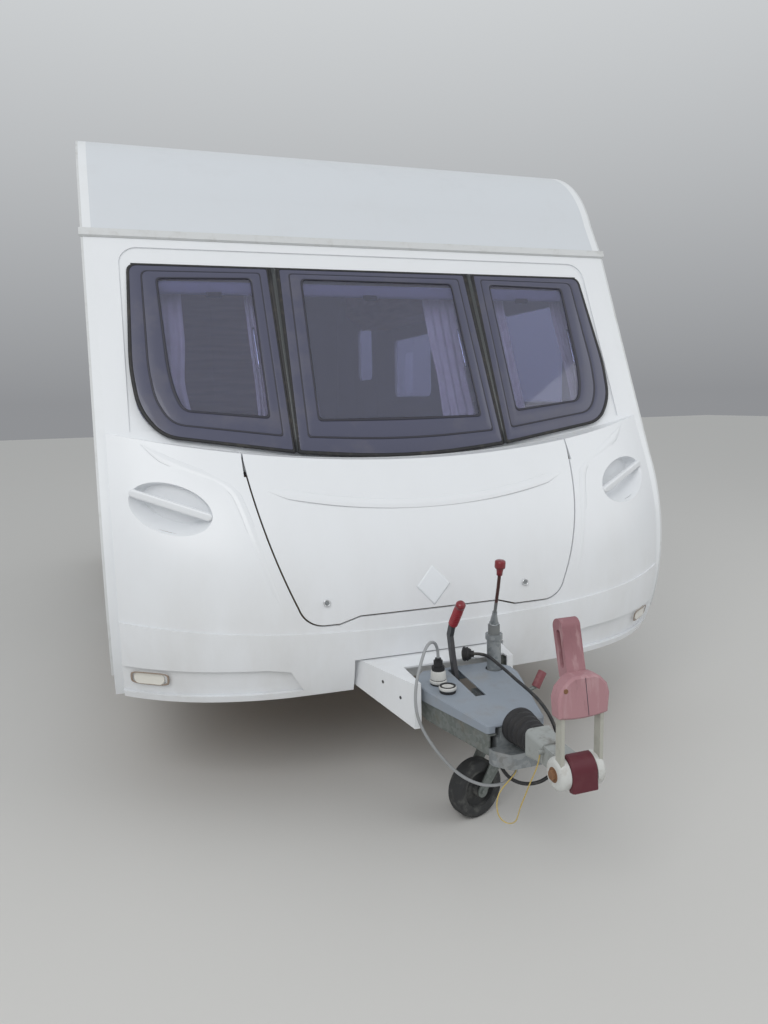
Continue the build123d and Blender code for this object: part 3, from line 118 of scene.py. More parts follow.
def grid_faces(rows: int, columns: int, wrap_rows: bool = False, wrap_columns: bool = False) -> Array:
    """Faces of a grid of points, row after row, with either direction joined round if asked.

    Args:
        rows: Number of rows of points.
        columns: Points in each row.
        wrap_rows: Join the last row to the first.
        wrap_columns: Join each row's last point to its first.

    Returns:
        Four vertex numbers a face.
    """
    spans = np.arange(rows - (not wrap_rows)), np.arange(columns - (not wrap_columns))
    i, j = np.meshgrid(*spans, indexing="ij")
    i, j = i.ravel(), j.ravel()
    i2, j2 = (i + 1) % rows, (j + 1) % columns
    return np.stack([i * columns + j, i2 * columns + j, i2 * columns + j2, i * columns + j2], 1)


def plate(front: Array, back: Array) -> bpy.types.Object:
    """Closed plate between two grids of points of the same shape: its faces, and walls round its edge.

    Args:
        front: Grid of points, rows by columns by three, seen anticlockwise from outside.
        back: The same grid on the hidden side.

    Returns:
        The plate.
    """
    rows, columns = front.shape[:2]
    count = rows * columns
    inside = grid_faces(rows, columns)
    edge = np.concatenate([np.arange(columns), np.arange(1, rows) * columns + columns - 1,
                           (rows - 1) * columns + np.arange(columns - 2, -1, -1),
                           np.arange(rows - 2, 0, -1) * columns])
    after = np.roll(edge, -1)
    walls = np.stack([edge, after, after + count, edge + count], 1)
    faces = np.concatenate([inside, inside[:, ::-1] + count, walls])
    obj = mesh_object(np.concatenate([front.reshape(-1, 3), back.reshape(-1, 3)]), faces)
    return outward(obj)


def outward(obj: bpy.types.Object) -> bpy.types.Object:
    """Merge doubled points and turn every face of a closed piece outwards.

    Args:
        obj: The piece.

    Returns:
        The piece.
    """
    work = bmesh.new()
    work.from_mesh(obj.data)
    bmesh.ops.remove_doubles(work, verts=work.verts, dist=1e-6)
    bmesh.ops.recalc_face_normals(work, faces=work.faces)
    work.to_mesh(obj.data)
    work.free()
    return obj


def tube(path: Array, radius: float, sides: int = 12, closed: bool = False) -> bpy.types.Object:
    """Round section carried along a path of points, with flat ends unless the path is closed.

    Args:
        path: Points of the middle line.
        radius: Radius of the section.
        sides: Corners of the section.
        closed: Whether the path joins its own start.

    Returns:
        The tube.
    """
    angle = np.linspace(0, 2 * np.pi, sides, endpoint=False)
    section = np.stack([np.cos(angle), np.sin(angle)], 1) * radius
    return swept(path, section, closed)


def swept(path: Array, section: Array, closed: bool = False) -> bpy.types.Object:
    """Any closed section carried along a path, with flat ends unless the path is closed.

    Each section stands across the path's direction there, found from the points before and after.

    Args:
        path: Points of the middle line.
        section: Points of the section: first number sideways and level, second upwards.
        closed: Whether the path joins its own start.

    Returns:
        The swept piece.
    """
    path = np.asarray(path, float)
    if closed:
        along = np.roll(path, -1, 0) - np.roll(path, 1, 0)
    else:
        along = np.gradient(path, axis=0)
    along /= np.linalg.norm(along, axis=1, keepdims=True)
    side = np.cross(along, (0.0, 0.0, 1.0))
    side /= np.linalg.norm(side, axis=1, keepdims=True)
    top = np.cross(side, along)
    points = path[:, None] + section[None, :, :1] * side[:, None] + section[None, :, 1:] * top[:, None]
    rows, columns = points.shape[:2]
    faces = grid_faces(rows, columns, closed, True).tolist()
    if not closed:
        faces += [list(range(columns)), list(range((rows - 1) * columns, rows * columns))]
    return outward(mesh_object(points.reshape(-1, 3), faces))


def turned(profile: Array | Sequence, origin: Sequence[float], axis: Sequence[float],
           steps: int = 32) -> bpy.types.Object:
    """Profile of distance along an axis and radius, turned full round; radius 0 closes an end.

    Args:
        profile: Rows of distance along the axis and radius.
        origin: Point on the axis that distances count from.
        axis: Direction of the axis.
        steps: Number of sections round.

    Returns:
        The turned piece.
    """
    n = np.asarray(axis, float) / np.linalg.norm(axis)
    a = np.cross(n, [0.0, 0.0, 1.0] if abs(n[2]) < 0.9 else [1.0, 0.0, 0.0])
    a /= np.linalg.norm(a)
    b = np.cross(n, a)
    t = np.linspace(0, 2 * np.pi, steps, endpoint=False)[:, None, None]
    profile = np.asarray(profile, float)
    points = (np.asarray(origin, float) + profile[None, :, :1] * n
              + profile[None, :, 1:] * (np.cos(t) * a + np.sin(t) * b))
    faces = grid_faces(steps, len(profile), True, False)
    return outward(mesh_object(points.reshape(-1, 3), faces))


def joined(parts: Sequence[bpy.types.Object]) -> bpy.types.Object:
    """Join pieces into one.

    Args:
        parts: The pieces, which are used up.

    Returns:
        The joined piece.
    """
    meshes = [p.data for p in parts]
    counts = np.cumsum([0] + [len(m.vertices) for m in meshes])
    verts, faces = [], []
    for mesh, start in zip(meshes, counts):
        co = np.empty(len(mesh.vertices) * 3, np.float32)
        mesh.vertices.foreach_get("co", co)
        verts.append(co.reshape(-1, 3))
        faces += [[v + int(start) for v in p.vertices] for p in mesh.polygons]
    for p in parts:
        bpy.data.objects.remove(p)
    return mesh_object(np.concatenate(verts), faces)


def split_edges(obj: bpy.types.Object, degrees: float = 32) -> None:
    """Shade smoothly but keep sharp edges, without touching the vertices.

    Args:
        obj: The piece.
        degrees: Angle above which an edge stays sharp.
    """
    obj.data.polygons.foreach_set("use_smooth", np.full(len(obj.data.polygons), True))
    weld = obj.modifiers.new("weld", "WELD")
    weld.merge_threshold = 0.00002
    split = obj.modifiers.new("sharp", "EDGE_SPLIT")
    split.split_angle = math.radians(degrees)


# Surfaces of the body that pieces lie on
def corner_station(z: Array) -> Array:
    """Station of the front corner: a circle's arc up to the shoulder and a straight slope above it.

    Args:
        z: Heights.

    Returns:
        Stations.
    """
    half = (SHOULDER - SKIRT) / 2
    radius = (half**2 + BULGE**2) / (2 * BULGE)
    arc = radius - BULGE - np.sqrt(np.maximum(radius**2 - (z - SKIRT - half) ** 2, 0))
    return np.where(z > SHOULDER, (z - SHOULDER) * SEAM_S / (SEAM_Z - SHOULDER), arc)


def nose_station(x: Array, z: Array) -> Array:
    """Station of the front moulding: the corner's, moved forward by a fourth-power bow."""
    return corner_station(z) - BOW * (SEAM_Z - z) * (1 - np.minimum(1, np.abs(x) / BOW_HALF) ** 4)


def nose_patch(x: Array, z: Array, lift: Array | float) -> Array:
    """Points that stand a little in front of the moulding at the given places."""
    return place(np.stack([x, nose_station(x, z) - lift, z], -1))


def pane_point(x: Array, z: Array, lift: Array | float) -> Array:
    """Points on the plane of the front windows, lifted off it along its normal."""
    station = PANE_S + PANE_LEAN * (z - PANE_Z) - lift / PANE_UP
    return place(np.stack([x, station, z + lift * PANE_LEAN / PANE_UP], -1))


# Outlines, and the bands and plates that follow a surface
def soft_loop(corners: Sequence[tuple[float, float, float]], steps: int = 7) -> Array:
    """Closed outline whose corners are rounded by parabolas.

    A corner P that is cut back to A before it and B after it gives the points
    (1-t)^2 A + 2t(1-t) P + t^2 B.

    Args:
        corners: The outline's corners in order, each with how far before and after it the
            rounding starts.
        steps: Points of each corner.

    Returns:
        The outline's points.
    """
    p, cut = np.split(np.asarray(corners, float), [2], axis=1)
    before, after = np.roll(p, 1, 0) - p, np.roll(p, -1, 0) - p
    a = p + before / np.linalg.norm(before, axis=1, keepdims=True) * cut
    b = p + after / np.linalg.norm(after, axis=1, keepdims=True) * cut
    t = np.linspace(0, 1, steps)[None, :, None]
    return ((1 - t) ** 2 * a[:, None] + 2 * t * (1 - t) * p[:, None] + t**2 * b[:, None]).reshape(-1, 2)


def powered(value: Array, share: float) -> Array:
    """Raise to a power with the sign kept."""
    return np.sign(value) * np.abs(value) ** share


def oval(centre: tuple[float, float], half: tuple[float, float], power: float = 0.5,
         steps: int = 48) -> Array:
    """Closed superellipse: cosine and sine, each raised to a power with its sign kept.

    Args:
        centre: Its middle.
        half: Its half width and half height.
        power: 1 gives an ellipse and smaller numbers a squarer shape.
        steps: Number of points.

    Returns:
        The outline's points.
    """
    t = np.linspace(0, 2 * np.pi, steps, endpoint=False)
    return np.stack([centre[0] + half[0] * powered(np.cos(t), power),
                     centre[1] + half[1] * powered(np.sin(t), power)], 1)


def wrapped(points: Array, smooth: bool = True) -> bpy.types.Object:
    """Closed piece from a grid of points that is joined round in both directions.

    Args:
        points: Rows by columns by three.
        smooth: Whether the faces shade smoothly.

    Returns:
        The piece.
    """
    faces = grid_faces(*points.shape[:2], True, True)
    return outward(mesh_object(points.reshape(-1, 3), faces, smooth))


def ring(loops: Sequence[tuple[Array, float]], surface: Surface) -> bpy.types.Object:
    """Closed band through outlines on a surface, the last of them joined to the first.

    Args:
        loops: Outlines of equal length, each with its lift off the surface.
        surface: Function of across, height and lift.

    Returns:
        The band.
    """
    return wrapped(np.stack([surface(loop[:, 0], loop[:, 1], lift) for loop, lift in loops]))


def patch(x: Array, z: Array, surface: Surface, top: Array | float, under: float) -> bpy.types.Object:
    """Closed plate over a grid of places on a surface, between two lifts.

    Args:
        x: Grid of distances across.
        z: Grid of heights.
        surface: Function of across, height and lift.
        top: Lift of the outer face, one number or a grid.
        under: Lift of the hidden face.

    Returns:
        The plate.
    """
    return plate(surface(x, z, top), surface(x, z, under))


def run_length(points: Array) -> Array:
    """Distance along a line of points, from its first point to each of them."""
    return np.concatenate([[0], np.cumsum(np.linalg.norm(np.diff(points, axis=0), axis=1))])


def blend_loops(a: Array, b: Array, share: float) -> Array:
    """Outline between two others: share 0 gives the first and 1 the second."""
    return a * (1 - share) + b * share


def mirror_loop(loop: Array) -> Array:
    """The same outline on the other side of the caravan."""
    return loop * np.array([-1.0, 1.0])


def side_plane(hand: int) -> Surface:
    """Surface function of a side wall: stations and heights, with the lift outwards."""
    return lambda s, z, lift: np.stack([hand * (HALF + lift) + 0 * s, s + FRONT_Y, z], -1)


# Trees of shader nodes
class Graph:
    """Small helper around a tree of shader nodes."""

    def __init__(self, tree: bpy.types.NodeTree) -> None:
        """Start with an empty tree.

        Args:
            tree: The tree of a material or of the world.
        """
        self.tree = tree
        tree.nodes.clear()

    def feed(self, node: bpy.types.Node, inputs: dict[str | int, Feed]) -> None:
        """Link sockets to a node's inputs, or set the inputs' values.

        Args:
            node: The node.
            inputs: What each input gets, by its name or number.
        """
        for key, value in inputs.items():
            if isinstance(value, Socket):
                self.tree.links.new(value, node.inputs[key])
            else:
                node.inputs[key].default_value = value

    def add(self, kind: str, inputs: dict[str | int, Feed] | None = None) -> bpy.types.Node:
        """Add a node and feed its inputs.

        Args:
            kind: The node's type, without the beginning that all share.
            inputs: What its inputs get.

        Returns:
            The node.
        """
        node = self.tree.nodes.new("ShaderNode" + kind)
        self.feed(node, inputs or {})
        return node


class Surfacing(Graph):
    """Tree of one material, with its Principled shader and object coordinates."""

    def __init__(self, name: str, inputs: dict[str | int, Feed]) -> None:
        """Start a material.

        Args:
            name: The material's name.
            inputs: What the shader's inputs get.
        """
        self.material = bpy.data.materials.new(name)
        self.material.use_nodes = True
        super().__init__(self.material.node_tree)
        self.shader = self.add("BsdfPrincipled", inputs)
        self.add("OutputMaterial", {0: self.shader.outputs[0]})
        self.coords = self.add("TexCoord").outputs["Object"]

    def noise(self, scale: float, detail: float = 4.0, rough: float = 0.5,
              stretch: tuple[float, float, float] = (1, 1, 1)) -> Socket:
        """Noise in object coordinates.

        Args:
            scale: Its cells in a metre.
            detail: Octaves of it.
            rough: Share of the finer octaves.
            stretch: Scale along each axis; a number below one draws the pattern out.

        Returns:
            Its value.
        """
        mapping = self.add("Mapping", {"Scale": stretch, "Vector": self.coords})
        return self.add("TexNoise", {"Scale": scale, "Detail": detail, "Roughness": rough,
                                     "Vector": mapping.outputs[0]}).outputs["Fac"]

    def height(self) -> Socket:
        """Height in object coordinates."""
        return self.add("SeparateXYZ", {0: self.coords}).outputs["Z"]

    def ramp(self, source: Socket, low: float, high: float, out_low: float, out_high: float) -> Socket:
        """Map a value between two limits to two others, smoothly and clamped.

        Args:
            source: The value.
            low: Value where the result starts to change.
            high: Value where it stops.
            out_low: Result at the lower value.
            out_high: Result at the higher value.

        Returns:
            The result.
        """
        node = self.add("MapRange", {"Value": source, "From Min": low, "From Max": high, "To Min": out_low,
                                     "To Max": out_high})
        node.interpolation_type = "SMOOTHSTEP"
        return node.outputs["Result"]

    def math(self, kind: Operation, a: Socket, b: Socket | float) -> Socket:
        """Add or multiply two values.

        Args:
            kind: What is done.
            a: First value.
            b: Second value.

        Returns:
            The result.
        """
        node = self.add("Math", {0: a, 1: b})
        node.operation = kind.value
        return node.outputs[0]

    def mix_color(self, mask: Socket, a: Socket | Color, b: Color, target: str | None = None) -> Socket:
        """Blend two colours by a mask.

        Args:
            mask: Share of the second colour.
            a: First colour, or its socket.
            b: Second colour.
            target: Input of the shader that the blend feeds, if any.

        Returns:
            The blend.
        """
        node = self.add("Mix", {"Factor": mask})
        node.data_type = "RGBA"
        first, second = (i for i, slot in enumerate(node.inputs) if slot.type == "RGBA")
        self.feed(node, {first: a if isinstance(a, Socket) else (*a, 1), second: (*b, 1)})
        out = next(slot for slot in node.outputs if slot.type == "RGBA")
        if target:
            self.feed(self.shader, {target: out})
        return out

    def bump(self, height: Socket, distance: float) -> None:
        """Bump the surface.

        Args:
            height: Height between 0 and 1.
            distance: Metres that a height of 1 stands for.
        """
        node = self.add("Bump", {"Strength": 1.0, "Distance": distance, "Height": height})
        self.feed(self.shader, {"Normal": node.outputs[0]})


# Finishes. Dirt starts at the first of these values of the noise and is full at the second, where
# the surface is rougher by DIRT_ROUGHENS
DIRT_FROM_TO = (0.48, 0.78)
DIRT_ROUGHENS = 0.35


@dataclass(frozen=True)
class Finish:
    """Paint, plastic, metal or rubber with the wear that shows on it."""

    name: str
    color: Color
    roughness: float = 0.5
    metallic: float = 0.0
    coat: float = 0.0
    dirt: Color = (0.3, 0.27, 0.22)
    dirt_amount: float = 0.0
    dirt_scale: float = 6.0
    bump: float = 0.0
    bump_scale: float = 300.0

    def material(self) -> bpy.types.Material:
        """Build the finish.

        Returns:
            A material whose colour and roughness are mottled with dirt by noise.
        """
        graph = Surfacing(self.name, {"Base Color": (*self.color, 1), "Roughness": self.roughness,
                                      "Metallic": self.metallic, "Coat Weight": self.coat,
                                      "Coat Roughness": 0.06})
        if self.dirt_amount > 0:
            noise = graph.noise(self.dirt_scale, detail=8.0, rough=0.62)
            mask = graph.ramp(noise, *DIRT_FROM_TO, 0.0, self.dirt_amount)
            graph.mix_color(mask, self.color, self.dirt, "Base Color")
            dirty = min(1.0, self.roughness + DIRT_ROUGHENS)
            graph.feed(graph.shader, {"Roughness": graph.ramp(noise, *DIRT_FROM_TO, self.roughness, dirty)})
        if self.bump > 0:
            graph.bump(graph.noise(self.bump_scale, detail=3.0, rough=0.5), self.bump)
        return graph.material


@dataclass(frozen=True)
class Acrylic:
    """Tinted see-through window plastic with a faint pale veil of dust."""

    name: str
    tint: Color
    haze: float = 0.03
    veil: float = 0.085

    def material(self) -> bpy.types.Material:
        """Build the smooth transmitting plastic."""
        return Surfacing(self.name, {"Base Color": (*self.tint, 1), "Roughness": self.haze, "IOR": 1.49,
                                     "Transmission Weight": 1.0 - self.veil}).material


@dataclass(frozen=True)
class Moulding:
    """Glossy white front plastic with road film low down and faint orange peel."""

    name: str = "white_moulding"
    color: Color = (0.80, 0.82, 0.845)
    film: Color = (0.52, 0.5, 0.46)
    film_z: tuple[float, float] = (0.4, 1.1)

    def material(self) -> bpy.types.Material:
        """Build the moulding.

        Returns:
            A material whose film fades in towards the bottom, mottled by noise.
        """
        graph = Surfacing(self.name, {"Roughness": 0.36, "Coat Weight": 0.15, "Coat Roughness": 0.22})
        low = graph.ramp(graph.height(), *self.film_z, 0.34, 0.05)
        cloud = graph.ramp(graph.noise(5.0, 9.0, 0.6, (1, 1, 0.35)), 0.35, 0.75, 0.15, 1.0)
        graph.mix_color(graph.math(Operation.MULTIPLY, low, cloud), self.color, self.film, "Base Color")
        graph.bump(graph.noise(120.0, 2.0, 0.5), 0.00004)
        return graph.material


@dataclass(frozen=True)
class Galvanised:
    """Hot-dipped steel: pale flakes on dull grey, with brown stain where dirt sits."""

    name: str = "galvanised"
    stain: float = 0.35
    dull: Color = (0.17, 0.19, 0.18)
    pale: Color = (0.225, 0.245, 0.235)
    brown: Color = (0.2, 0.15, 0.1)

    def material(self) -> bpy.types.Material:
        """Build the steel.

        Returns:
            A material of cells in two greys, with stain over them by noise.
        """
        graph = Surfacing(self.name, {"Metallic": 0.55, "Roughness": 0.48})
        cells = graph.add("TexVoronoi", {"Scale": 90, "Vector": graph.coords})
        grey = graph.add("RGBToBW", {0: cells.outputs["Color"]})
        base = graph.mix_color(graph.ramp(grey.outputs[0], 0.2, 0.8, 0.0, 1.0), self.dull, self.pale)
        stain = graph.ramp(graph.noise(14.0, 8.0, 0.65), 0.5, 0.72, 0.0, self.stain)
        graph.mix_color(stain, base, self.brown, "Base Color")
        graph.bump(graph.noise(60.0, 4.0, 0.6), 0.0004)
        return graph.material


@dataclass(frozen=True)
class CrankSteel:
    """Crank rod: grey where it was galvanised low down, brown-red rust above."""

    name: str = "crank_steel"
    grey: Color = (0.2, 0.21, 0.21)
    rust: Color = (0.085, 0.035, 0.03)
    rust_z: tuple[float, float] = (0.765, 0.79)

    def material(self) -> bpy.types.Material:
        """Build the rod's finish.

        Returns:
            A material that changes at one height, wandering with noise.
        """
        graph = Surfacing(self.name, {"Metallic": 0.3, "Roughness": 0.5})
        wander = graph.math(Operation.MULTIPLY, graph.noise(60.0, 5.0, 0.6), 0.05)
        high = graph.ramp(graph.math(Operation.ADD, graph.height(), wander), *self.rust_z, 0.0, 1.0)
        graph.mix_color(high, self.grey, self.rust, "Base Color")
        return graph.material


@dataclass(frozen=True)
class FadedGrip:
    """Red plastic bleached to pink, darker towards the loop by painted shade together with dirt, with pale
    and dark streaks down it.
    """

    name: str = "faded_pink"
    pink: Color = (0.40, 0.215, 0.235)
    # Colour at the loop, darkened by painted shade together with dirt
    dark: Color = (0.24, 0.1, 0.115)
    chalk: Color = (0.5, 0.33, 0.34)
    stain: Color = (0.17, 0.085, 0.09)

    def material(self) -> bpy.types.Material:
        """Build the bleached plastic.

        Returns:
            A material that darkens upwards with painted shade and dirt, with streaks from noise drawn out
            upwards.
        """
        graph = Surfacing(self.name, {"Roughness": 0.6})
        # Painted shade with dirt: the colour darkens upwards towards the loop, its edge wandering with noise
        wander = graph.math(Operation.MULTIPLY, graph.noise(9.0, 4.0, 0.6), 0.12)
        high = graph.ramp(graph.math(Operation.ADD, graph.height(), wander), 0.76, 0.9, 0.0, 0.75)
        base = graph.mix_color(high, self.pink, self.dark)
        pale = graph.ramp(graph.noise(46.0, 5.0, 0.65, (1, 1, 0.16)), 0.52, 0.7, 0.0, 0.5)
        streaked = graph.mix_color(pale, base, self.chalk)
        stain = graph.ramp(graph.noise(28.0, 6.0, 0.7, (1, 1, 0.3)), 0.58, 0.76, 0.0, 0.6)
        graph.mix_color(stain, streaked, self.stain, "Base Color")
        graph.bump(graph.noise(240.0, 3.0, 0.5), 0.0002)
        return graph.material


@dataclass(frozen=True)
class Cloth:
    """Cloth with soft sheen and a fine grain."""

    name: str
    color: Color
    shade: Color

    def material(self) -> bpy.types.Material:
        """Build the cloth.

        Returns:
            A material of two shades mottled by noise.
        """
        graph = Surfacing(self.name, {"Roughness": 0.9, "Sheen Weight": 0.3})
        mask = graph.ramp(graph.noise(18.0, 5.0, 0.6), 0.35, 0.7, 0.0, 1.0)
        graph.mix_color(mask, self.color, self.shade, "Base Color")
        graph.bump(graph.noise(900.0, 2.0, 0.5), 0.0002)
        return graph.material


@dataclass(frozen=True)
class Board:
    """Furniture board with a light wood figure that runs across the caravan."""

    name: str = "furniture_board"
    dark: Color = (0.34, 0.22, 0.12)
    light: Color = (0.46, 0.31, 0.18)

    def material(self) -> bpy.types.Material:
        """Build the board.

        Returns:
            A material whose figure is noise drawn out across the caravan.
        """
        graph = Surfacing(self.name, {"Roughness": 0.45})
        figure = graph.ramp(graph.noise(34.0, 6.0, 0.6, (0.07, 0.2, 1)), 0.35, 0.65, 0.0, 1.0)
        graph.mix_color(figure, self.dark, self.light, "Base Color")
        return graph.material


def dress(obj: bpy.types.Object, material: bpy.types.Material) -> None:
    """Give a piece one material in place of what it had."""
    obj.data.materials.clear()
    obj.data.materials.append(material)


@dataclass
class Palette:
    """Every finish of the caravan, built once."""

    made: dict[str, bpy.types.Material] = field(default_factory=dict)

    def build(self) -> None:
        """Make all materials."""
        finishes = (
            Moulding(),
            # Painted shade: the upper front panel gets a darker, bluer white than the walls and the moulding,
            # standing in for the shade on that panel; the noise dirt over it is light
            Finish("shaded_upper_white", (0.66, 0.69, 0.725), 0.3, coat=0.15, dirt=(0.5, 0.5, 0.48),
                   dirt_amount=0.08),
            Finish("white_wall", (0.79, 0.81, 0.83), 0.34, coat=0.15, dirt=(0.55, 0.53, 0.5),
                   dirt_amount=0.1),
            Finish("grey_trim", (0.64, 0.655, 0.66), 0.35, dirt_amount=0.25, dirt_scale=20),
            Finish("black_seal", (0.016, 0.016, 0.018), 0.55, dirt_amount=0.2, dirt_scale=30),
            Finish("clear_lamp", (0.72, 0.7, 0.64), 0.12, coat=0.6),
            Finish("lamp_rim", (0.32, 0.25, 0.2), 0.4),
            Finish("red_lamp", (0.42, 0.02, 0.015), 0.15, coat=0.6),
            Finish("chrome", (0.75, 0.76, 0.78), 0.12, metallic=1.0),
            Finish("grey_cover", (0.262, 0.298, 0.345), 0.5, dirt_amount=0.4, dirt_scale=12,
                   bump=0.0002, bump_scale=700),
            Finish("black_rubber", (0.016, 0.016, 0.018), 0.6, dirt_amount=0.12, dirt_scale=25),
            Finish("tyre_rubber", (0.02, 0.02, 0.021), 0.75, dirt=(0.13, 0.12, 0.105), dirt_amount=0.5,
                   dirt_scale=9),
            Finish("dusty_tread", (0.035, 0.036, 0.037), 0.85, dirt=(0.2, 0.2, 0.185), dirt_amount=0.8,
                   dirt_scale=16),
            Finish("pale_cheek", (0.58, 0.59, 0.57), 0.42, dirt=(0.25, 0.2, 0.15), dirt_amount=0.5,
                   dirt_scale=34),
            Finish("faded_red", (0.1, 0.012, 0.022), 0.45, dirt=(0.2, 0.09, 0.09), dirt_amount=0.3,
                   dirt_scale=25),
            Finish("wheel_silver", (0.55, 0.56, 0.57), 0.35, metallic=0.4, dirt_amount=0.35, dirt_scale=14),
            Finish("rusty_bolt", (0.2, 0.1, 0.05), 0.8, dirt=(0.35, 0.2, 0.1), dirt_amount=0.8,
                   dirt_scale=90),
            Finish("grey_sheath", (0.32, 0.33, 0.34), 0.55, dirt_amount=0.3, dirt_scale=40),
            Finish("black_sheath", (0.02, 0.02, 0.022), 0.5, dirt_amount=0.3, dirt_scale=40),
            Finish("yellow_sheath", (0.5, 0.37, 0.1), 0.5, dirt=(0.42, 0.42, 0.4), dirt_amount=0.9,
                   dirt_scale=16),
            Finish("pale_plug", (0.6, 0.6, 0.58), 0.5, dirt_amount=0.4, dirt_scale=50),
            Finish("dark_steel", (0.06, 0.06, 0.065), 0.5, metallic=0.3, dirt_amount=0.3, dirt_scale=30),
            Finish("blank_patch", (0.81, 0.84, 0.87), 0.5),
            Acrylic("tinted_acrylic", (0.58, 0.6, 0.8)),
            Finish("lilac_border", (0.072, 0.075, 0.122), 0.3, coat=0.25, dirt=(0.12, 0.115, 0.14),
                   dirt_amount=0.5, dirt_scale=7),
            Finish("lilac_case", (0.3, 0.29, 0.38), 0.5),
            Finish("dark_line", (0.035, 0.035, 0.05), 0.5),
            Finish("pillar_grey", (0.04, 0.045, 0.047), 0.3, coat=0.35),
            Finish("red_grip", (0.3, 0.02, 0.03), 0.4, dirt=(0.4, 0.12, 0.11), dirt_amount=0.3,
                   dirt_scale=60),
            Finish("red_cap", (0.2, 0.012, 0.018), 0.35, coat=0.3),
            Finish("bright_zinc", (0.5, 0.5, 0.48), 0.35, metallic=0.8, dirt_amount=0.4, dirt_scale=90),
            Finish("lock_metal", (0.6, 0.61, 0.62), 0.35, metallic=0.5),
            Finish("seat_piping", (0.42, 0.38, 0.33), 0.8),
            Finish("arm_cream", (0.42, 0.42, 0.37), 0.5, dirt=(0.2, 0.19, 0.16), dirt_amount=0.55,
                   dirt_scale=22),
            Finish("pink_lever", (0.2, 0.055, 0.065), 0.5, dirt=(0.36, 0.2, 0.2), dirt_amount=0.6,
                   dirt_scale=50),
            Finish("cast_grey", (0.36, 0.38, 0.37), 0.45, metallic=0.2, dirt=(0.12, 0.1, 0.08),
                   dirt_amount=0.75, dirt_scale=34, bump=0.0003, bump_scale=260),
            CrankSteel(),
            FadedGrip(),
            Galvanised(),
            Galvanised("galvanised_pale", 0.25, (0.25, 0.27, 0.28), (0.33, 0.35, 0.36)),
            Board(),
            Cloth("curtain_cloth", (0.88, 0.8, 0.79), (0.8, 0.7, 0.7)),
            Cloth("seat_cloth", (0.2, 0.17, 0.16), (0.14, 0.12, 0.12)),
        )
        for finish in finishes:
            self.made[finish.name] = finish.material()
        log.info("%d finishes", len(self.made))

    def __getitem__(self, name: str) -> bpy.types.Material:
        """The material of that name."""
        return self.made[name]


# What each node of the frame is finished in
NODE_FINISHES: dict[str, tuple[str, ...]] = {
    "white_moulding": ("front_panel", "locker_lid", "front_bumper", "fairing", "rear_bumper",
                       "grab_handles"),
    # The upper panel's darker white is painted shade
    "shaded_upper_white": ("front_upper",),
    "white_wall": ("side_near", "side_far", "roof", "rear_panel", "door", "battery_hatch", "cassette_hatch",
                   "roof_lights"),
    "tinted_acrylic": ("front_windows", "cabin_windows", "door_window"),
    "clear_lamp": ("marker_lamps",),
    "red_lamp": ("rear_lamps",),
    "grey_trim": ("body_trims",),
    "dark_steel": ("door_handle", "handbrake"),
    "crank_steel": ("jockey_crank",),
    "galvanised": ("chassis", "drawbar", "axle", "jockey_leg", "jockey_fork", "jockey_clamp",
                   "steady_front_left", "steady_front_right", "steady_rear_left", "steady_rear_right"),
    "cast_grey": ("coupling_head",),
    "galvanised_pale": ("overrun", "jockey_tube"),
    "wheel_silver": ("wheel_left", "wheel_right"),
    "tyre_rubber": ("tyre_left", "tyre_right"),
    "grey_cover": ("hitch_cover",),
    "black_rubber": ("bellows", "sockets", "plugs"),
    "dusty_tread": ("jockey_wheel",),
    "pale_cheek": ("cheeks",),
    "arm_cream": ("handle_arms",),
    "faded_red": ("soft_dock",),
    "faded_pink": ("stabiliser_grip",),
    "furniture_board": ("floor", "wheel_boxes", "lounge_furniture", "kitchen_furniture"),
    "seat_cloth": ("cushions",),
    "curtain_cloth": ("curtains",),
    "grey_sheath": ("grey_cable",),
    "black_sheath": ("black_cable",),
    "yellow_sheath": ("breakaway_cable",),
}


def dress_frame(palette: Palette) -> None:
    """Give every node of the frame its finish and smooth shading with sharp edges kept.

    Args:
        palette: The finishes.
    """
    for finish, nodes in NODE_FINISHES.items():
        for node in nodes:
            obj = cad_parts[node]
            dress(obj, palette[finish])
            split_edges(obj)
    log.info("%d frame nodes dressed", len(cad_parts))


@dataclass
class Assembly:
    """Group of new pieces, with the finishes that they take."""

    palette: Palette

    def put(self, name: str, obj: bpy.types.Object, finish: str, body: Body = Body.CARAVAN,
            sharp: float = 0.0) -> bpy.types.Object:
        """Give a new piece its name, finish and body, and report it.

        Args:
            name: The piece's name.
            obj: The piece.
            finish: Name of its finish.
            body: Body that it rides on.
            sharp: Angle above which its edges stay sharp, or 0 for smooth all over.

        Returns:
            The piece.
        """
        obj.name = obj.data.name = name
        dress(obj, self.palette[finish])
        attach(obj, body.value)
        if sharp:
            split_edges(obj, sharp)
        log.info("%s, %d faces", obj.name, len(obj.data.polygons))
        return obj


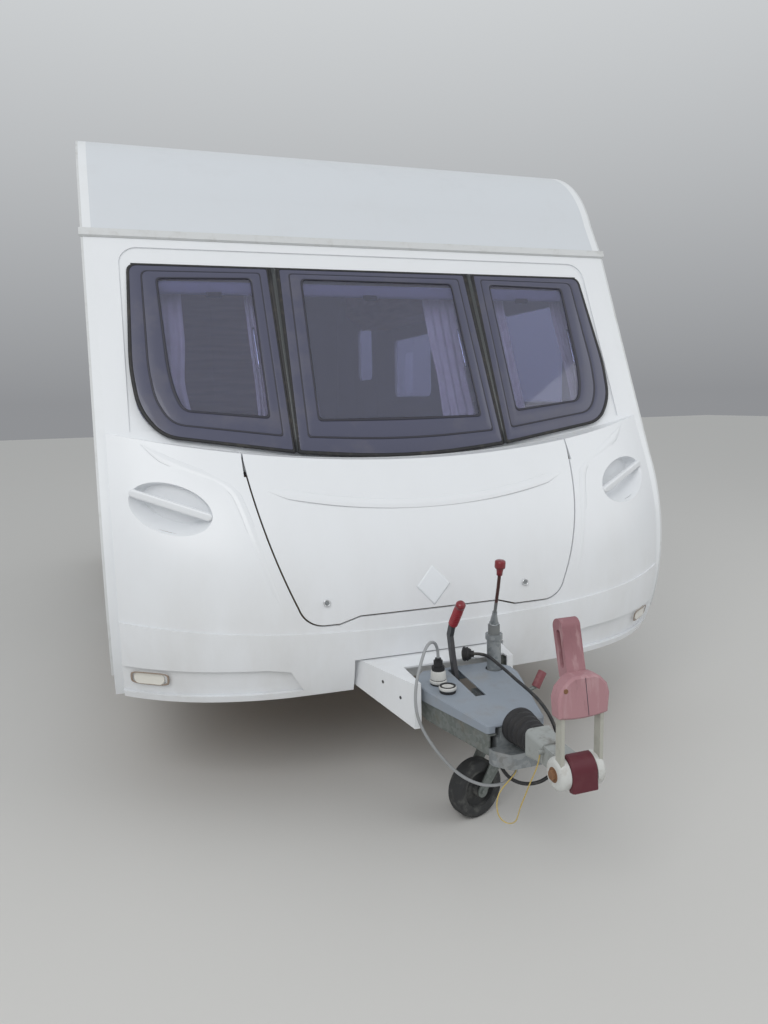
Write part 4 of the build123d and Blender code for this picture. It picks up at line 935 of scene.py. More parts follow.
@dataclass
class FrontWindows(Assembly):
    """Hazy borders, seals, pillars and inner fittings of the three front windows.

    Outlines are corners on the windows' plane, by across, height and how far before and after the
    corner its rounding starts. Bands are rows of the share between the outer and the inner outline,
    and the lift there. A pillar's edges are distances across at its top and at its foot, and its
    seal and strip are lifts at even steps across.
    """

    side_outer: tuple = ((-0.964, 1.936, 0.03), (-0.982, 1.554, 0.06), (-0.966, 1.413, 0.05),
                         (-0.897, 1.312, 0.06), (-0.437, 1.2405, 0.008), (-0.446, 1.936, 0.008))
    side_inner: tuple = ((-0.868, 1.888, 0.02), (-0.857, 1.553, 0.04), (-0.842, 1.46, 0.03),
                         (-0.816, 1.396, 0.03), (-0.51, 1.363, 0.02), (-0.513, 1.896, 0.02))
    middle_outer: tuple = ((-0.4, 1.936, 0.008), (-0.417, 1.2385, 0.008), (0.0, 1.198, 0.28),
                           (0.417, 1.2385, 0.008), (0.4, 1.936, 0.008))
    middle_inner: tuple = ((-0.315, 1.898, 0.02), (-0.327, 1.348, 0.02), (0.0, 1.343, 0.2),
                           (0.345, 1.346, 0.02), (0.335, 1.895, 0.02))
    border: tuple = ((0, 0.0004), (0, 0.003), (0.05, 0.0045), (0.3, 0.0048), (0.42, 0.0048), (0.46, 0.0034),
                     (0.5, 0.0048), (0.93, 0.0046), (1, 0.003), (1, 0.0004))
    # Painted shade: a dark band laid over the groove in the border, in place of the shade inside it
    groove: tuple = ((0.43, 0.0046), (0.43, 0.0053), (0.49, 0.0053), (0.49, 0.0046))
    outer_seal: tuple = ((-0.07, 0.0006), (-0.07, 0.004), (-0.02, 0.0062), (0.035, 0.0052), (0.035, 0.0006))
    inner_seal: tuple = ((0.965, 0.0006), (0.965, 0.005), (1.01, 0.0052), (1.05, 0.002), (1.05, 0.0006))
    pillar_top: tuple = (-0.447, -0.399)
    pillar_foot: tuple = (-0.4345, -0.4165)
    pillar_z: tuple = (1.236, 1.937)
    pillar_seal: tuple = (0.001, 0.006, 0.0075, 0.0085, 0.0085, 0.0075, 0.006, 0.001)
    pillar_strip: tuple = (0.0088, 0.0108, 0.0112, 0.0108, 0.0088)
    strip_share: tuple = (0.34, 0.7)
    joint_x: tuple = (-0.955, 0.955)
    joint_z: tuple = (1.933, 1.938, 1.943)
    joint_lifts: tuple = (0.0035, 0.0004)
    case_x: tuple = ((-0.872, -0.508), (-0.32, 0.345), (0.508, 0.872))
    case_z: float = 1.872
    case_half: tuple = (0.017, 0.024)
    case_behind: float = 0.034
    stay_x: tuple = ((-0.525, -0.521), (0.330, 0.334), (0.86, 0.856))
    stay_z: tuple = (1.71, 1.555)
    stay_radius: float = 0.005
    stay_behind: float = 0.02
    catch_x: tuple = (-0.66, -0.033, 0.66)
    catch_z: tuple = (1.842, 1.826)
    catch_half: tuple = (0.03, 0.006)
    catch_behind: float = 0.012

    def pairs(self) -> list[tuple[Array, Array]]:
        """Outer and inner outline of each window.

        Returns:
            The pairs, left to right.
        """
        outer, inner = soft_loop(self.side_outer), soft_loop(self.side_inner)
        middle = soft_loop(self.middle_outer), soft_loop(self.middle_inner)
        return [(outer, inner), middle, (mirror_loop(outer), mirror_loop(inner))]

    def bands(self, stops: Sequence[tuple[float, float]]) -> bpy.types.Object:
        """One closed band round each window, joined.

        Args:
            stops: Rows of share between the outer and the inner outline, and lift.

        Returns:
            The three bands.
        """
        return joined([ring([(blend_loops(outer, inner, share), lift) for share, lift in stops], pane_point)
                       for outer, inner in self.pairs()])

    def pillar(self, share: tuple[float, float], lifts: Sequence[float], under: float) -> bpy.types.Object:
        """Strip over both pillars: straight edges, with a row of lifts across it.

        Args:
            share: Part of the pillar's width that it covers.
            lifts: Height of its surface at even steps across.
            under: Lift of its back.

        Returns:
            The two strips.
        """
        u, v = np.meshgrid(np.linspace(*share, len(lifts)), np.linspace(0, 1, 12), indexing="ij")
        foot = self.pillar_foot[0] + (self.pillar_foot[1] - self.pillar_foot[0]) * u
        head = self.pillar_top[0] + (self.pillar_top[1] - self.pillar_top[0]) * u
        x, z = foot + (head - foot) * v, self.pillar_z[0] + (self.pillar_z[1] - self.pillar_z[0]) * v
        top = np.repeat(np.asarray(lifts, float)[:, None], 12, 1)
        return joined([patch(hand * x, z, pane_point, top, under) for hand in (1, -1)])

    def build(self) -> None:
        """Make and dress every piece of the windows."""
        for name, stops, finish in (("window_borders", self.border, "lilac_border"),
                                    # The dark band over the border's groove is painted shade
                                    ("border_groove_shade", self.groove, "dark_line"),
                                    ("outer_seals", self.outer_seal, "black_seal"),
                                    ("inner_seals", self.inner_seal, "dark_line")):
            self.put(name, self.bands(stops), finish)
        self.put("pillar_seals", self.pillar((0, 1), self.pillar_seal, 0.0005), "black_seal")
        self.put("pillar_strips", self.pillar(self.strip_share, self.pillar_strip, 0.0078), "pillar_grey")
        x, z = np.meshgrid(np.linspace(*self.joint_x, 40), self.joint_z, indexing="ij")
        self.put("top_joint", patch(x, z, pane_point, *self.joint_lifts), "black_seal")
        self.inner_fittings()

    def inner_fittings(self) -> None:
        """Blind cassettes, stays and catches behind the panes."""
        cases, stays, catches = [], [], []
        for left, right in self.case_x:
            line = pane_point(np.linspace(left, right, 12), np.full(12, self.case_z), -self.case_behind)
            cases.append(swept(line, oval((0, 0), self.case_half, 0.5, 20)))
        self.put("blind_cases", joined(cases), "lilac_case", sharp=35)
        for head, foot in self.stay_x:
            line = pane_point(np.linspace(head, foot, 8), np.linspace(*self.stay_z, 8), -self.stay_behind)
            stays.append(tube(line, self.stay_radius, 10))
        self.put("window_stays", joined(stays), "chrome")
        for x in self.catch_x:
            line = pane_point(np.full(4, x), np.linspace(*self.catch_z, 4), -self.catch_behind)
            catches.append(swept(line, oval((0, 0), self.catch_half, 0.5, 16)))
        self.put("window_catches", joined(catches), "dark_line", sharp=35)


@dataclass
class Curtains(Assembly):
    """Tied curtains at both sides of each front window.

    A span is a curtain's left edge, its right edge and the share between them that it is gathered
    towards at the tie. They hang parallel to the windows, from a point of their own plane.
    """

    spans: tuple = ((-0.930, -0.775, 0.0), (-0.530, -0.470, 0.5), (-0.385, -0.285, 0.5),
                    (0.235, 0.385, 0.5), (0.465, 0.625, 1.0), (0.860, 0.930, 1.0))
    top: float = 1.880
    foot: float = 1.275
    hang_s: float = 0.148
    hang_z: float = 1.266
    slope: float = 0.45881
    tie: float = 0.62
    tie_width: float = 0.16
    pinch: float = 0.1
    folds: float = 4.0
    wave: float = 0.0105
    wave_at_top: float = 0.55
    sway: float = 0.9
    sway_rate: float = 2.2
    thickness: float = 0.0012

    def cloth(self, x0: float, x1: float, towards: float) -> Array:
        """Grid of points of one curtain.

        Its depth is a sine across the width that grows towards the foot and sways a little sideways
        on its way down, and its width narrows by a bell curve at the tie.

        Args:
            x0: Left edge.
            x1: Right edge.
            towards: Share between the edges that it narrows towards.

        Returns:
            Rows across by columns down by three.
        """
        u, v = np.meshgrid(np.linspace(0, 1, 65), np.linspace(0, 1, 31), indexing="ij")
        narrow = 1 - self.pinch * np.exp(-(((v - self.tie) / self.tie_width) ** 2))
        centre = x0 + (x1 - x0) * towards
        x = centre + (x0 + (x1 - x0) * u - centre) * narrow
        z = self.top + (self.foot - self.top) * v
        phase = 2 * np.pi * self.folds * u + self.sway * np.sin(self.sway_rate * v)
        depth = self.wave * (self.wave_at_top + (1 - self.wave_at_top) * v) * narrow * np.sin(phase)
        return place(np.stack([x, self.hang_s + self.slope * (z - self.hang_z) + depth, z], -1))

    def build(self) -> None:
        """Make the six curtains."""
        for i, span in enumerate(self.spans):
            front = self.cloth(*span)
            back = front + np.array([0.0, self.thickness, 0.0])
            sheet = self.put(f"curtain_{i}", plate(front, back), "curtain_cloth")
            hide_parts("curtains")


@dataclass
class Cushions(Assembly):
    """Bench seats and back rests: crowned pads with a piped seam round the middle.

    Each kind has its distances from the middle of the caravan, and its stations and heights.
    """

    seat_x: tuple = (0.388, 1.072)
    seat: tuple = (0.190, 1.880, 0.907, 1.047)
    rest_x: tuple = (0.944, 1.072)
    rest: tuple = (0.340, 1.880, 1.050, 1.387)
    outline_power: float = 0.2
    edge_power: float = 0.24
    crown_power: float = 0.5
    piping_radius: float = 0.003

    def pad(self, low: tuple, high: tuple) -> bpy.types.Object:
        """Superellipsoid: powers of cosines and sines of two angles, with flat sides and round edges.

        Args:
            low: Its lowest corner, by across, station and height.
            high: Its highest corner.

        Returns:
            The pad.
        """
        middle, half = (np.add(low, high)) / 2, np.subtract(high, low) / 2
        f, t = np.meshgrid(np.linspace(-np.pi / 2, np.pi / 2, 41),
                           np.linspace(-np.pi, np.pi, 96, endpoint=False), indexing="ij")
        reach = powered(np.cos(f), self.edge_power)
        unit = np.stack([reach * powered(np.cos(t), self.outline_power),
                         reach * powered(np.sin(t), self.outline_power),
                         powered(np.sin(f), self.crown_power)], -1)
        points = place(middle + unit * half)
        return outward(mesh_object(points.reshape(-1, 3), grid_faces(*points.shape[:2], False, True)))

    def build(self) -> None:
        """Make two seats and two back rests."""
        for side, hand in (("left", -1), ("right", 1)):
            for kind, across, limits in (("seat", self.seat_x, self.seat), ("rest", self.rest_x, self.rest)):
                s0, s1, z0, z1 = limits
                x0, x1 = sorted(hand * x for x in across)
                cushion = self.put(f"{kind}_{side}", self.pad((x0, s0, z0), (x1, s1, z1)), "seat_cloth")
                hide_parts("cushions")
                outline = oval(((x0 + x1) / 2, (s0 + s1) / 2), ((x1 - x0) / 2, (s1 - s0) / 2),
                               self.outline_power, 96)
                path = place(np.column_stack([outline, np.full(96, (z0 + z1) / 2)]))
                self.put(f"{kind}_piping_{side}", tube(path, self.piping_radius, 8, True), "seat_piping")


@dataclass
class FrontTrim(Assembly):
    """Small fittings of the front: lid locks, blank patch, soft folds and lamp rims.

    Places and lines are distances across and heights. Turned profiles are rows of the distance
    out of the front and the radius, a lamp rim is rows of half width, half height and lift, and
    a fold's size is its width and height.
    """

    lock_at: tuple = ((-0.415, 0.746), (0.340, 0.743))
    lock_axis: tuple = (0, -1, 0.12)
    lock_ring: tuple = ((-0.004, 0), (-0.004, 0.0125), (0.003, 0.0125), (0.0045, 0.0105), (0.003, 0.0085),
                        (0.001, 0.0085), (0.001, 0))
    lock_barrel: tuple = ((0.0005, 0), (0.0005, 0.007), (0.0025, 0.007), (0.0025, 0.002), (0.0015, 0.0015),
                          (0.0015, 0))
    patch_at: tuple = (-0.025, 0.770)
    patch_half: float = 0.064
    patch_stretch: float = 1.1
    patch_lifts: tuple = (0.0011, 0.0003)
    lamp_at: tuple = (0.998, 0.500)
    lamp_power: float = 0.45
    lamp_rim: tuple = ((0.062, 0.0245, 0.0005), (0.062, 0.0245, 0.003), (0.056, 0.0205, 0.0035),
                       (0.055, 0.0195, 0.0005))
    body_fold: tuple = ((0.973, 1.290), (0.920, 1.246), (0.820, 1.200), (0.740, 1.170), (0.685, 1.140),
                        (0.660, 1.060), (0.593, 0.810), (0.560, 0.725))
    body_fold_size: tuple = (0.030, 0.0017)
    lid_fold_half: float = 0.583
    lid_fold_z: float = 1.052
    lid_fold_rise: float = 0.075
    lid_half: float = 0.59
    lid_fold_size: tuple = (0.032, 0.0011)
    fold_fade: float = 0.08
    fold_edge: float = -0.0006
    fold_under: float = -0.0016

    def locks(self) -> None:
        """Two round lid locks: a bright ring with a barrel that is hollow in its middle."""
        places = [nose_patch(np.array(x), np.array(z), 0.0) for x, z in self.lock_at]
        for name, profile, finish, steps in (("lid_lock_rings", self.lock_ring, "lock_metal", 32),
                                             ("lid_lock_barrels", self.lock_barrel, "galvanised_pale", 24)):
            parts = joined([turned(profile, origin, self.lock_axis, steps) for origin in places])
            self.put(name, parts, finish, Body.LID, 30)

    def blank_patch(self) -> None:
        """Diamond of bare film on the lid, two of its edges a little ragged by a sine along them."""
        u, v = np.meshgrid(np.linspace(-0.5, 0.5, 17), np.linspace(-0.5, 0.5, 17), indexing="ij")
        ragged = 0.002 * np.sin(41 * v) * (u < -0.49) + 0.0015 * np.sin(57 * u) * (v < -0.49)
        x = self.patch_at[0] + (u - v + ragged) * self.patch_half
        z = self.patch_at[1] + (u + v + ragged) * self.patch_half * self.patch_stretch
        self.put("blank_patch", patch(x, z, nose_patch, *self.patch_lifts), "blank_patch", Body.LID)

    def crease(self, knots: Array, width: float, height: float) -> bpy.types.Object:
        """Low soft fold along a line on the front, its height a squared cosine across it.

        The line through the knots is smoothed by averaging each point with its neighbours, and the
        fold fades out at both ends. Its edges lie just under the front.

        Args:
            knots: Points of the line, by across and height.
            width: Width of the fold.
            height: Its height.

        Returns:
            The fold.
        """
        along = run_length(knots)
        t = np.linspace(0, along[-1], 60)
        path = np.column_stack([np.interp(t, along, knots[:, i]) for i in (0, 1)])
        for _ in range(12):
            path[1:-1] = (path[:-2] + 2 * path[1:-1] + path[2:]) / 4
        way = np.gradient(path, axis=0)
        way /= np.linalg.norm(way, axis=1)[:, None]
        u = np.linspace(-0.5, 0.5, 11)
        ends = np.clip(np.minimum(t, t[-1] - t) / self.fold_fade + 0.02, 0, 1)[:, None]
        x = path[:, :1] - way[:, 1:] * width * ends * u
        z = path[:, 1:] + way[:, :1] * width * ends * u
        top = self.fold_edge + (height - self.fold_edge) * np.cos(np.pi * u) ** 2 * ends
        return patch(x, z, nose_patch, top, self.fold_under)

    def creases(self) -> None:
        """Two folds that frame the lid, and a parabola's fold across its upper part."""
        folds = [self.crease(np.array(self.body_fold) * (hand, 1), *self.body_fold_size) for hand in (-1, 1)]
        self.put("body_folds", joined(folds), "white_moulding")
        x = np.linspace(-self.lid_fold_half, self.lid_fold_half, 15)
        arc = np.column_stack([x, self.lid_fold_z + self.lid_fold_rise * (x / self.lid_half) ** 2])
        self.put("lid_fold", self.crease(arc, *self.lid_fold_size), "white_moulding", Body.LID)

    def build(self) -> None:
        """Make all small fittings of the front."""
        self.locks()
        self.blank_patch()
        self.creases()
        rims = []
        for hand in (-1, 1):
            at = (hand * self.lamp_at[0], self.lamp_at[1])
            loops = [(oval(at, (wide, high), self.lamp_power), lift) for wide, high, lift in self.lamp_rim]
            rims.append(ring(loops, nose_patch))
        self.put("lamp_rims", joined(rims), "lamp_rim")


@dataclass
class WallSeals(Assembly):
    """Black seals round the side windows.

    A window is its side, two stations and two heights. The seal's section is rows of the share of
    its width and the share of its lift.
    """

    windows: tuple = ((1, 0.620, 1.480, 1.320, 1.890), (1, 2.330, 3.130, 1.400, 1.890),
                      (-1, 0.620, 1.480, 1.320, 1.890), (-1, 2.050, 2.850, 1.440, 1.890),
                      (-1, 4.130, 4.520, 1.540, 1.890))
    section: tuple = ((0.0, 0.6), (0.25, 1.0), (0.75, 1.0), (1.0, 0.6))
    outside: float = 0.004
    rounding: float = 0.095
    inner_share: float = 0.6
    width: float = 0.012
    lift: float = 0.004
    under: float = 0.0002

    def band(self, hand: int, s0: float, s1: float, z0: float, z1: float) -> bpy.types.Object:
        """Rounded rubber band along a rectangle with round corners on a wall.

        Args:
            hand: Side of the caravan.
            s0: First station of the window.
            s1: Last station.
            z0: Lower height.
            z1: Upper height.

        Returns:
            The band.
        """
        steps = [(0.0, self.under), *((t, self.lift * h) for t, h in self.section), (1.0, self.under)]
        loops = []
        for share, lift in steps:
            out = self.outside - self.width * share
            a, b, low, high = s0 - out, s1 + out, z0 - out, z1 + out
            radius = self.rounding - self.width * share * self.inner_share
            corners = [(s, z, radius) for s, z in ((a, low), (b, low), (b, high), (a, high))]
            loops.append((soft_loop(corners, 9), lift))
        return ring(loops, side_plane(hand))

    def build(self) -> None:
        """Make the seals."""
        self.put("side_window_seals", joined([self.band(*window) for window in self.windows]), "black_seal")


@dataclass
class RoadWheels(Assembly):
    """Tyres with grooves and blocks, and the bolts of both wheels.

    The tyre's profile is rows of the distance from its middle and the radius. A groove and a slot
    are sunk fully within the first of their two half widths and fade out by the second; a slot's
    are shares of a block.
    """

    profile: tuple = ((-0.075, 0.202), (-0.076, 0.214), (-0.086, 0.236), (-0.088, 0.258), (-0.086, 0.283),
                      (-0.079, 0.303), (-0.066, 0.3145), (-0.030, 0.3178), (0.0, 0.318), (0.030, 0.3178),
                      (0.066, 0.3145), (0.079, 0.303), (0.086, 0.283), (0.088, 0.258), (0.086, 0.236),
                      (0.076, 0.214), (0.075, 0.202))
    grooves: tuple = (-0.041, -0.014, 0.014, 0.041)
    groove_half: tuple = (0.003, 0.0042)
    tread_half: float = 0.078
    blocks: int = 60
    slot_half: tuple = (0.11, 0.17)
    slot_x: tuple = (0.047, 0.0775)
    slot_slant: float = 14.0
    depth: float = 0.007
    slot_depth: float = 0.0049
    bolt_count: int = 5
    bolt_circle: float = 0.056
    bolt_face: float = 0.036
    bolt_turn: float = 0.3
    bolt: tuple = ((-0.002, 0), (-0.002, 0.0125), (0.002, 0.0125), (0.002, 0.0095), (0.012, 0.0095),
                   (0.0135, 0.008), (0.0135, 0))

    def tyre(self, hand: int) -> bpy.types.Object:
        """Profile turned round the axle, sunk by grooves round it and by slots across its shoulders.

        A groove's depth is a clipped slope of the distance from its middle, and a slot's is the
        same of the angle, repeated once a block.

        Args:
            hand: Side of the caravan.

        Returns:
            The tyre.
        """
        knots = np.array(self.profile)
        along = run_length(knots)
        flat, fade = self.groove_half
        sides = np.array([-fade, -flat, flat, fade])
        edges = [np.interp(g, knots[:, 0], along) + sides for g in self.grooves]
        fine = np.unique(np.concatenate([np.linspace(0, along[-1], 70), *edges]))
        x, r = np.interp(fine, along, knots[:, 0]), np.interp(fine, along, knots[:, 1])
        near = np.min(np.abs(x[:, None] - np.array(self.grooves)), axis=1)
        groove = self.depth * np.clip((fade - near) / (fade - flat), 0, 1) * (np.abs(x) < self.tread_half)
        angle = np.linspace(0, 2 * np.pi, self.blocks * 6, endpoint=False)[:, None]
        phase = (angle * self.blocks / (2 * np.pi) + np.abs(x)[None] * self.slot_slant) % 1.0
        flat, fade = self.slot_half
        shoulder = (np.abs(x) > self.slot_x[0]) & (np.abs(x) < self.slot_x[1])
        slot = self.slot_depth * np.clip((fade - np.abs(phase - 0.5)) / (fade - flat), 0, 1) * shoulder[None]
        radius = r[None] - np.maximum(groove[None], slot)
        across = np.broadcast_to(x[None], radius.shape)
        return wrapped(np.stack([hand * TRACK_X + across, AXLE_S + FRONT_Y + radius * np.cos(angle),
                                 TYRE_R + radius * np.sin(angle)], -1), False)

    def bolts(self, hand: int) -> bpy.types.Object:
        """Six-sided bolt heads round the hub.

        Args:
            hand: Side of the caravan.

        Returns:
            The bolts.
        """
        parts = []
        for i in range(self.bolt_count):
            angle = 2 * math.pi * i / self.bolt_count + self.bolt_turn
            origin = (hand * (TRACK_X + self.bolt_face),
                      AXLE_S + FRONT_Y + self.bolt_circle * math.cos(angle),
                      TYRE_R + self.bolt_circle * math.sin(angle))
            parts.append(turned(self.bolt, origin, (hand, 0, 0), 6))
        return joined(parts)

    def build(self) -> None:
        """Make both tyres and the bolts."""
        for side, hand, body in (("left", -1, Body.WHEEL_LEFT), ("right", 1, Body.WHEEL_RIGHT)):
            tyre = self.put(f"road_tyre_{side}", self.tyre(hand), "tyre_rubber", body, 28)
            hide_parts(f"tyre_{side}")
            self.put(f"wheel_bolts_{side}", self.bolts(hand), "bright_zinc", body, 30)


@dataclass(frozen=True)
class Turning:
    """Piece that is turned round the line between two points.

    Its points are across, station and height, and its profile is rows of the distance from the
    first point towards the second, and the radius.
    """

    name: str
    finish: str
    foot: tuple
    head: tuple
    profile: tuple
    sharp: float = 0.0
    steps: int = 32

    def build(self) -> bpy.types.Object:
        """Turn the profile round the line."""
        return turned(self.profile, place(self.foot), np.subtract(self.head, self.foot), self.steps)


# Ends of the handbrake's grip, of the stretch of crank rod with the cone, and of the clamp's sleeve
LEVER_ENDS = (-0.021, -0.462, 0.668), (-0.021, -0.531, 0.758)
CONE_ENDS = (0.117, -0.493, 0.662), (0.112, -0.508, 0.700)
CLAMP_ENDS = (0.318, -0.428, 0.384), (0.350, -0.420, 0.432)
LEVER, CLAMP = math.dist(*LEVER_ENDS), math.dist(*CLAMP_ENDS)


@dataclass
class HitchFittings(Assembly):
    """Grips, knob, rings, bolts and screws of the hitch.

    Ribbed rings are rows of height and radius round an upright axis, with the number of ribs, how
    far they rise, and the radius above which they show. Bolts and screws are rows of the distance
    out of the surface and the radius.
    """

    lever_cap: Turning = Turning(
        "lever_grip_cap", "red_cap", *LEVER_ENDS,
        ((LEVER - 0.0165, 0), (LEVER - 0.0165, 0.0168), (LEVER - 0.006, 0.0166), (LEVER + 0.0015, 0.012),
         (LEVER + 0.003, 0)))
    knob: Turning = Turning(
        "crank_knob", "red_cap", (0.080, -0.604, 0.860), (0.080, -0.6095, 0.906),
        ((-0.001, 0), (-0.001, 0.0095), (0.012, 0.0104), (0.020, 0.0118), (0.0232, 0.0162), (0.028, 0.0175),
         (0.042, 0.0175), (0.0462, 0.0165), (0.0482, 0.014), (0.0486, 0)))
    cone: Turning = Turning(
        "crank_cone", "galvanised_pale", *CONE_ENDS,
        ((-0.004, 0), (-0.004, 0.0165), (0.004, 0.0165), (0.006, 0.0135), (0.012, 0.0135), (0.040, 0.0085),
         (0.052, 0.0082), (0.052, 0)), 30)
    rings: Turning = Turning(
        "crank_rings", "rusty_bolt", *CONE_ENDS,
        ((-0.0145, 0), (-0.0145, 0.0182), (-0.012, 0.0192), (-0.0095, 0.0182), (-0.0075, 0.0192),
         (-0.005, 0.0182), (-0.005, 0)), 30)
    clamp: Turning = Turning(
        "clamp_sleeve", "pink_lever", *CLAMP_ENDS,
        ((-0.001, 0), (-0.001, 0.0158), (CLAMP * 0.5, 0.0154), (CLAMP, 0.0158), (CLAMP + 0.0025, 0.0145),
         (CLAMP + 0.004, 0.011), (CLAMP + 0.004, 0)), 35)
    liner: Turning = Turning(
        "socket_liner", "pale_plug", (-0.108, -0.612, 0.0), (-0.108, -0.612, 1.0),
        ((0.5125, 0), (0.5125, 0.0225), (0.5165, 0.0225), (0.5165, 0.0195), (0.5135, 0.0175), (0.5135, 0)),
        30, 40)
    collar: Turning = Turning(
        "plug_collar", "black_rubber", (0.024, -0.4413, 0.5513), (0.046, -0.4584, 0.5544),
        ((0.002, 0.0160), (0.002, 0.0225), (0.004, 0.0245), (0.009, 0.0245), (0.011, 0.0215), (0.013, 0.0215),
         (0.015, 0.0235), (0.018, 0.0235), (0.020, 0.0205), (0.0255, 0.0185), (0.0255, 0.0160)), 30, 40)
    grip_hole: Turning = Turning(
        "grip_hole", "rusty_bolt", (-0.055, -1.207, 0.712), (-0.055, -2.207, 0.712),
        ((-0.002, 0), (-0.002, 0.0062), (0.0008, 0.0062), (0.0012, 0.0045), (0.0004, 0.003), (0.0004, 0)),
        0.0, 24)
    sleeve_radius: float = 0.0163
    sleeve_ring: float = 0.0006
    sleeve_pitch: float = 0.009
    sleeve_ringed: float = 0.7
    grip_seam_z: tuple = (0.640, 0.739)
    grip_seam_x: float = 0.012
    grip_seam_s: float = -1.2069
    grip_seam_lean: float = -0.12
    plug_at: tuple = (-0.112, -0.546)
    plug_body: tuple = ((0.5188, 0.0236), (0.5205, 0.0252), (0.5440, 0.0242), (0.5490, 0.0220),
                        (0.5490, 0.0150), (0.5188, 0.0150))
    plug_ribs: tuple = (20, 0.0006, 0.0225)
    socket_at: tuple = ((-0.108, -0.612), (-0.112, -0.546))
    socket_ring: tuple = ((0.507, 0.0262), (0.509, 0.0278), (0.5165, 0.0278), (0.5185, 0.0265),
                          (0.5185, 0.0255), (0.507, 0.0255))
    socket_ribs: tuple = (24, 0.0005, 0.027)
    cheek_bolt_at: tuple = (0.066, -1.172, 0.481)
    cheek_bolt: tuple = ((-0.002, 0), (-0.002, 0.0195), (0.001, 0.0195), (0.001, 0.013), (0.0075, 0.013),
                         (0.009, 0.01105), (0.009, 0))
    screw_at: tuple = ((-0.262, -0.425, 0.488), (-0.233, -0.515, 0.462))
    screw_axis: tuple = (-0.952, -0.305, 0.0)
    screw: tuple = ((-0.001, 0), (-0.001, 0.006), (0.001, 0.0055), (0.0018, 0.003), (0.0018, 0))

    def turn(self, *pieces: Turning) -> None:
        """Make and dress turned pieces."""
        for piece in pieces:
            self.put(piece.name, piece.build(), piece.finish, sharp=piece.sharp)

    def lever_grip(self) -> None:
        """Red sleeve on the handbrake, its radius a sine along it where it has shallow rings."""
        end = LEVER - 0.016
        t = np.linspace(0.004, end, 60)
        rings = self.sleeve_ring * np.sin(t * 2 * np.pi / self.sleeve_pitch)
        radius = self.sleeve_radius + rings * (t < LEVER * self.sleeve_ringed)
        sleeve = ((0.004, 0), *zip(t, radius), (end, 0))
        self.turn(Turning("lever_grip", "red_grip", *LEVER_ENDS, sleeve), self.lever_cap)

    def ribbed(self, at: tuple[float, float], rows: tuple, ribs: int, rise: float,
               beyond: float) -> bpy.types.Object:
        """Ring round an upright axis, the larger of its radii a sine of the angle.

        Args:
            at: Across and station of its axis.
            rows: Rows of height and radius.
            ribs: Number of ribs.
            rise: How far the ribs rise and fall.
            beyond: Radius above which the ribs show.

        Returns:
            The ring.
        """
        angle = np.linspace(0, 2 * np.pi, 96, endpoint=False)[:, None]
        z, out = np.array(rows).T[:, None]
        r = out + rise * np.sin(ribs * angle) * (out > beyond)
        points = np.stack([at[0] + r * np.cos(angle), at[1] + r * np.sin(angle), z + 0 * angle], -1)
        return wrapped(place(points))

    def grip_seam(self) -> None:
        """Seam down the front of the stabiliser grip."""
        low, high = self.grip_seam_z
        z = np.linspace(low, high, 12)
        x = self.grip_seam_x + self.grip_seam_lean * (z - low)
        line = place(np.column_stack([x, np.full(12, self.grip_seam_s), z]))
        self.put("grip_seam", tube(line, 0.0009, 8), "dark_line")

    def bolts(self) -> None:
        """Rusty bolt heads with washers on the cheeks, and screws on the white cover."""
        x, s, z = self.cheek_bolt_at
        heads = [turned(self.cheek_bolt, place((hand * x, s, z)), (hand, 0, 0), 24) for hand in (-1, 1)]
        self.put("cheek_bolts", joined(heads), "rusty_bolt", sharp=30)
        screws = [turned(self.screw, place(at), self.screw_axis, 20) for at in self.screw_at]
        self.put("cover_screws", joined(screws), "dark_steel")

    def build(self) -> None:
        """Make all fittings of the hitch."""
        self.lever_grip()
        self.turn(self.knob, self.cone, self.rings, self.clamp)
        plug = self.ribbed(self.plug_at, self.plug_body, *self.plug_ribs)
        self.put("plug_body", plug, "pale_plug", sharp=40)
        self.turn(self.liner, self.collar)
        self.grip_seam()
        self.turn(self.grip_hole)
        rings = [self.ribbed(at, self.socket_ring, *self.socket_ribs) for at in self.socket_at]
        self.put("socket_rings", joined(rings), "pale_plug")
        self.bolts()


@dataclass
class Cable(Assembly):
    """Free cable on the hitch, from its upper end to where it goes under the drawbar."""

    name: str
    node: str
    finish: str
    diameter: float
    length: float
    route: Sequence[tuple[float, float, float]]

    def build(self) -> None:
        """Make the cable as one smooth curve through its route's control points."""
        curve = bpy.data.curves.new(self.name, "CURVE")
        curve.dimensions = "3D"
        spline = curve.splines.new("NURBS")
        points = place(self.route)
        spline.points.add(len(points) - 1)
        spline.points.foreach_set("co", np.column_stack([points, np.ones(len(points))]).ravel())
        spline.order_u = 3
        spline.use_endpoint_u = True
        spline.resolution_u = 8
        curve.bevel_depth = self.diameter / 2
        curve.bevel_resolution = 4
        curve.use_fill_caps = True
        obj = bpy.data.objects.new(self.name, curve)
        bpy.context.scene.collection.objects.link(obj)
        dress(obj, self.palette[self.finish])
        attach(obj, Body.CARAVAN.value)
        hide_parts(self.node)
        log.info("%s %.2f m", self.name, self.length)


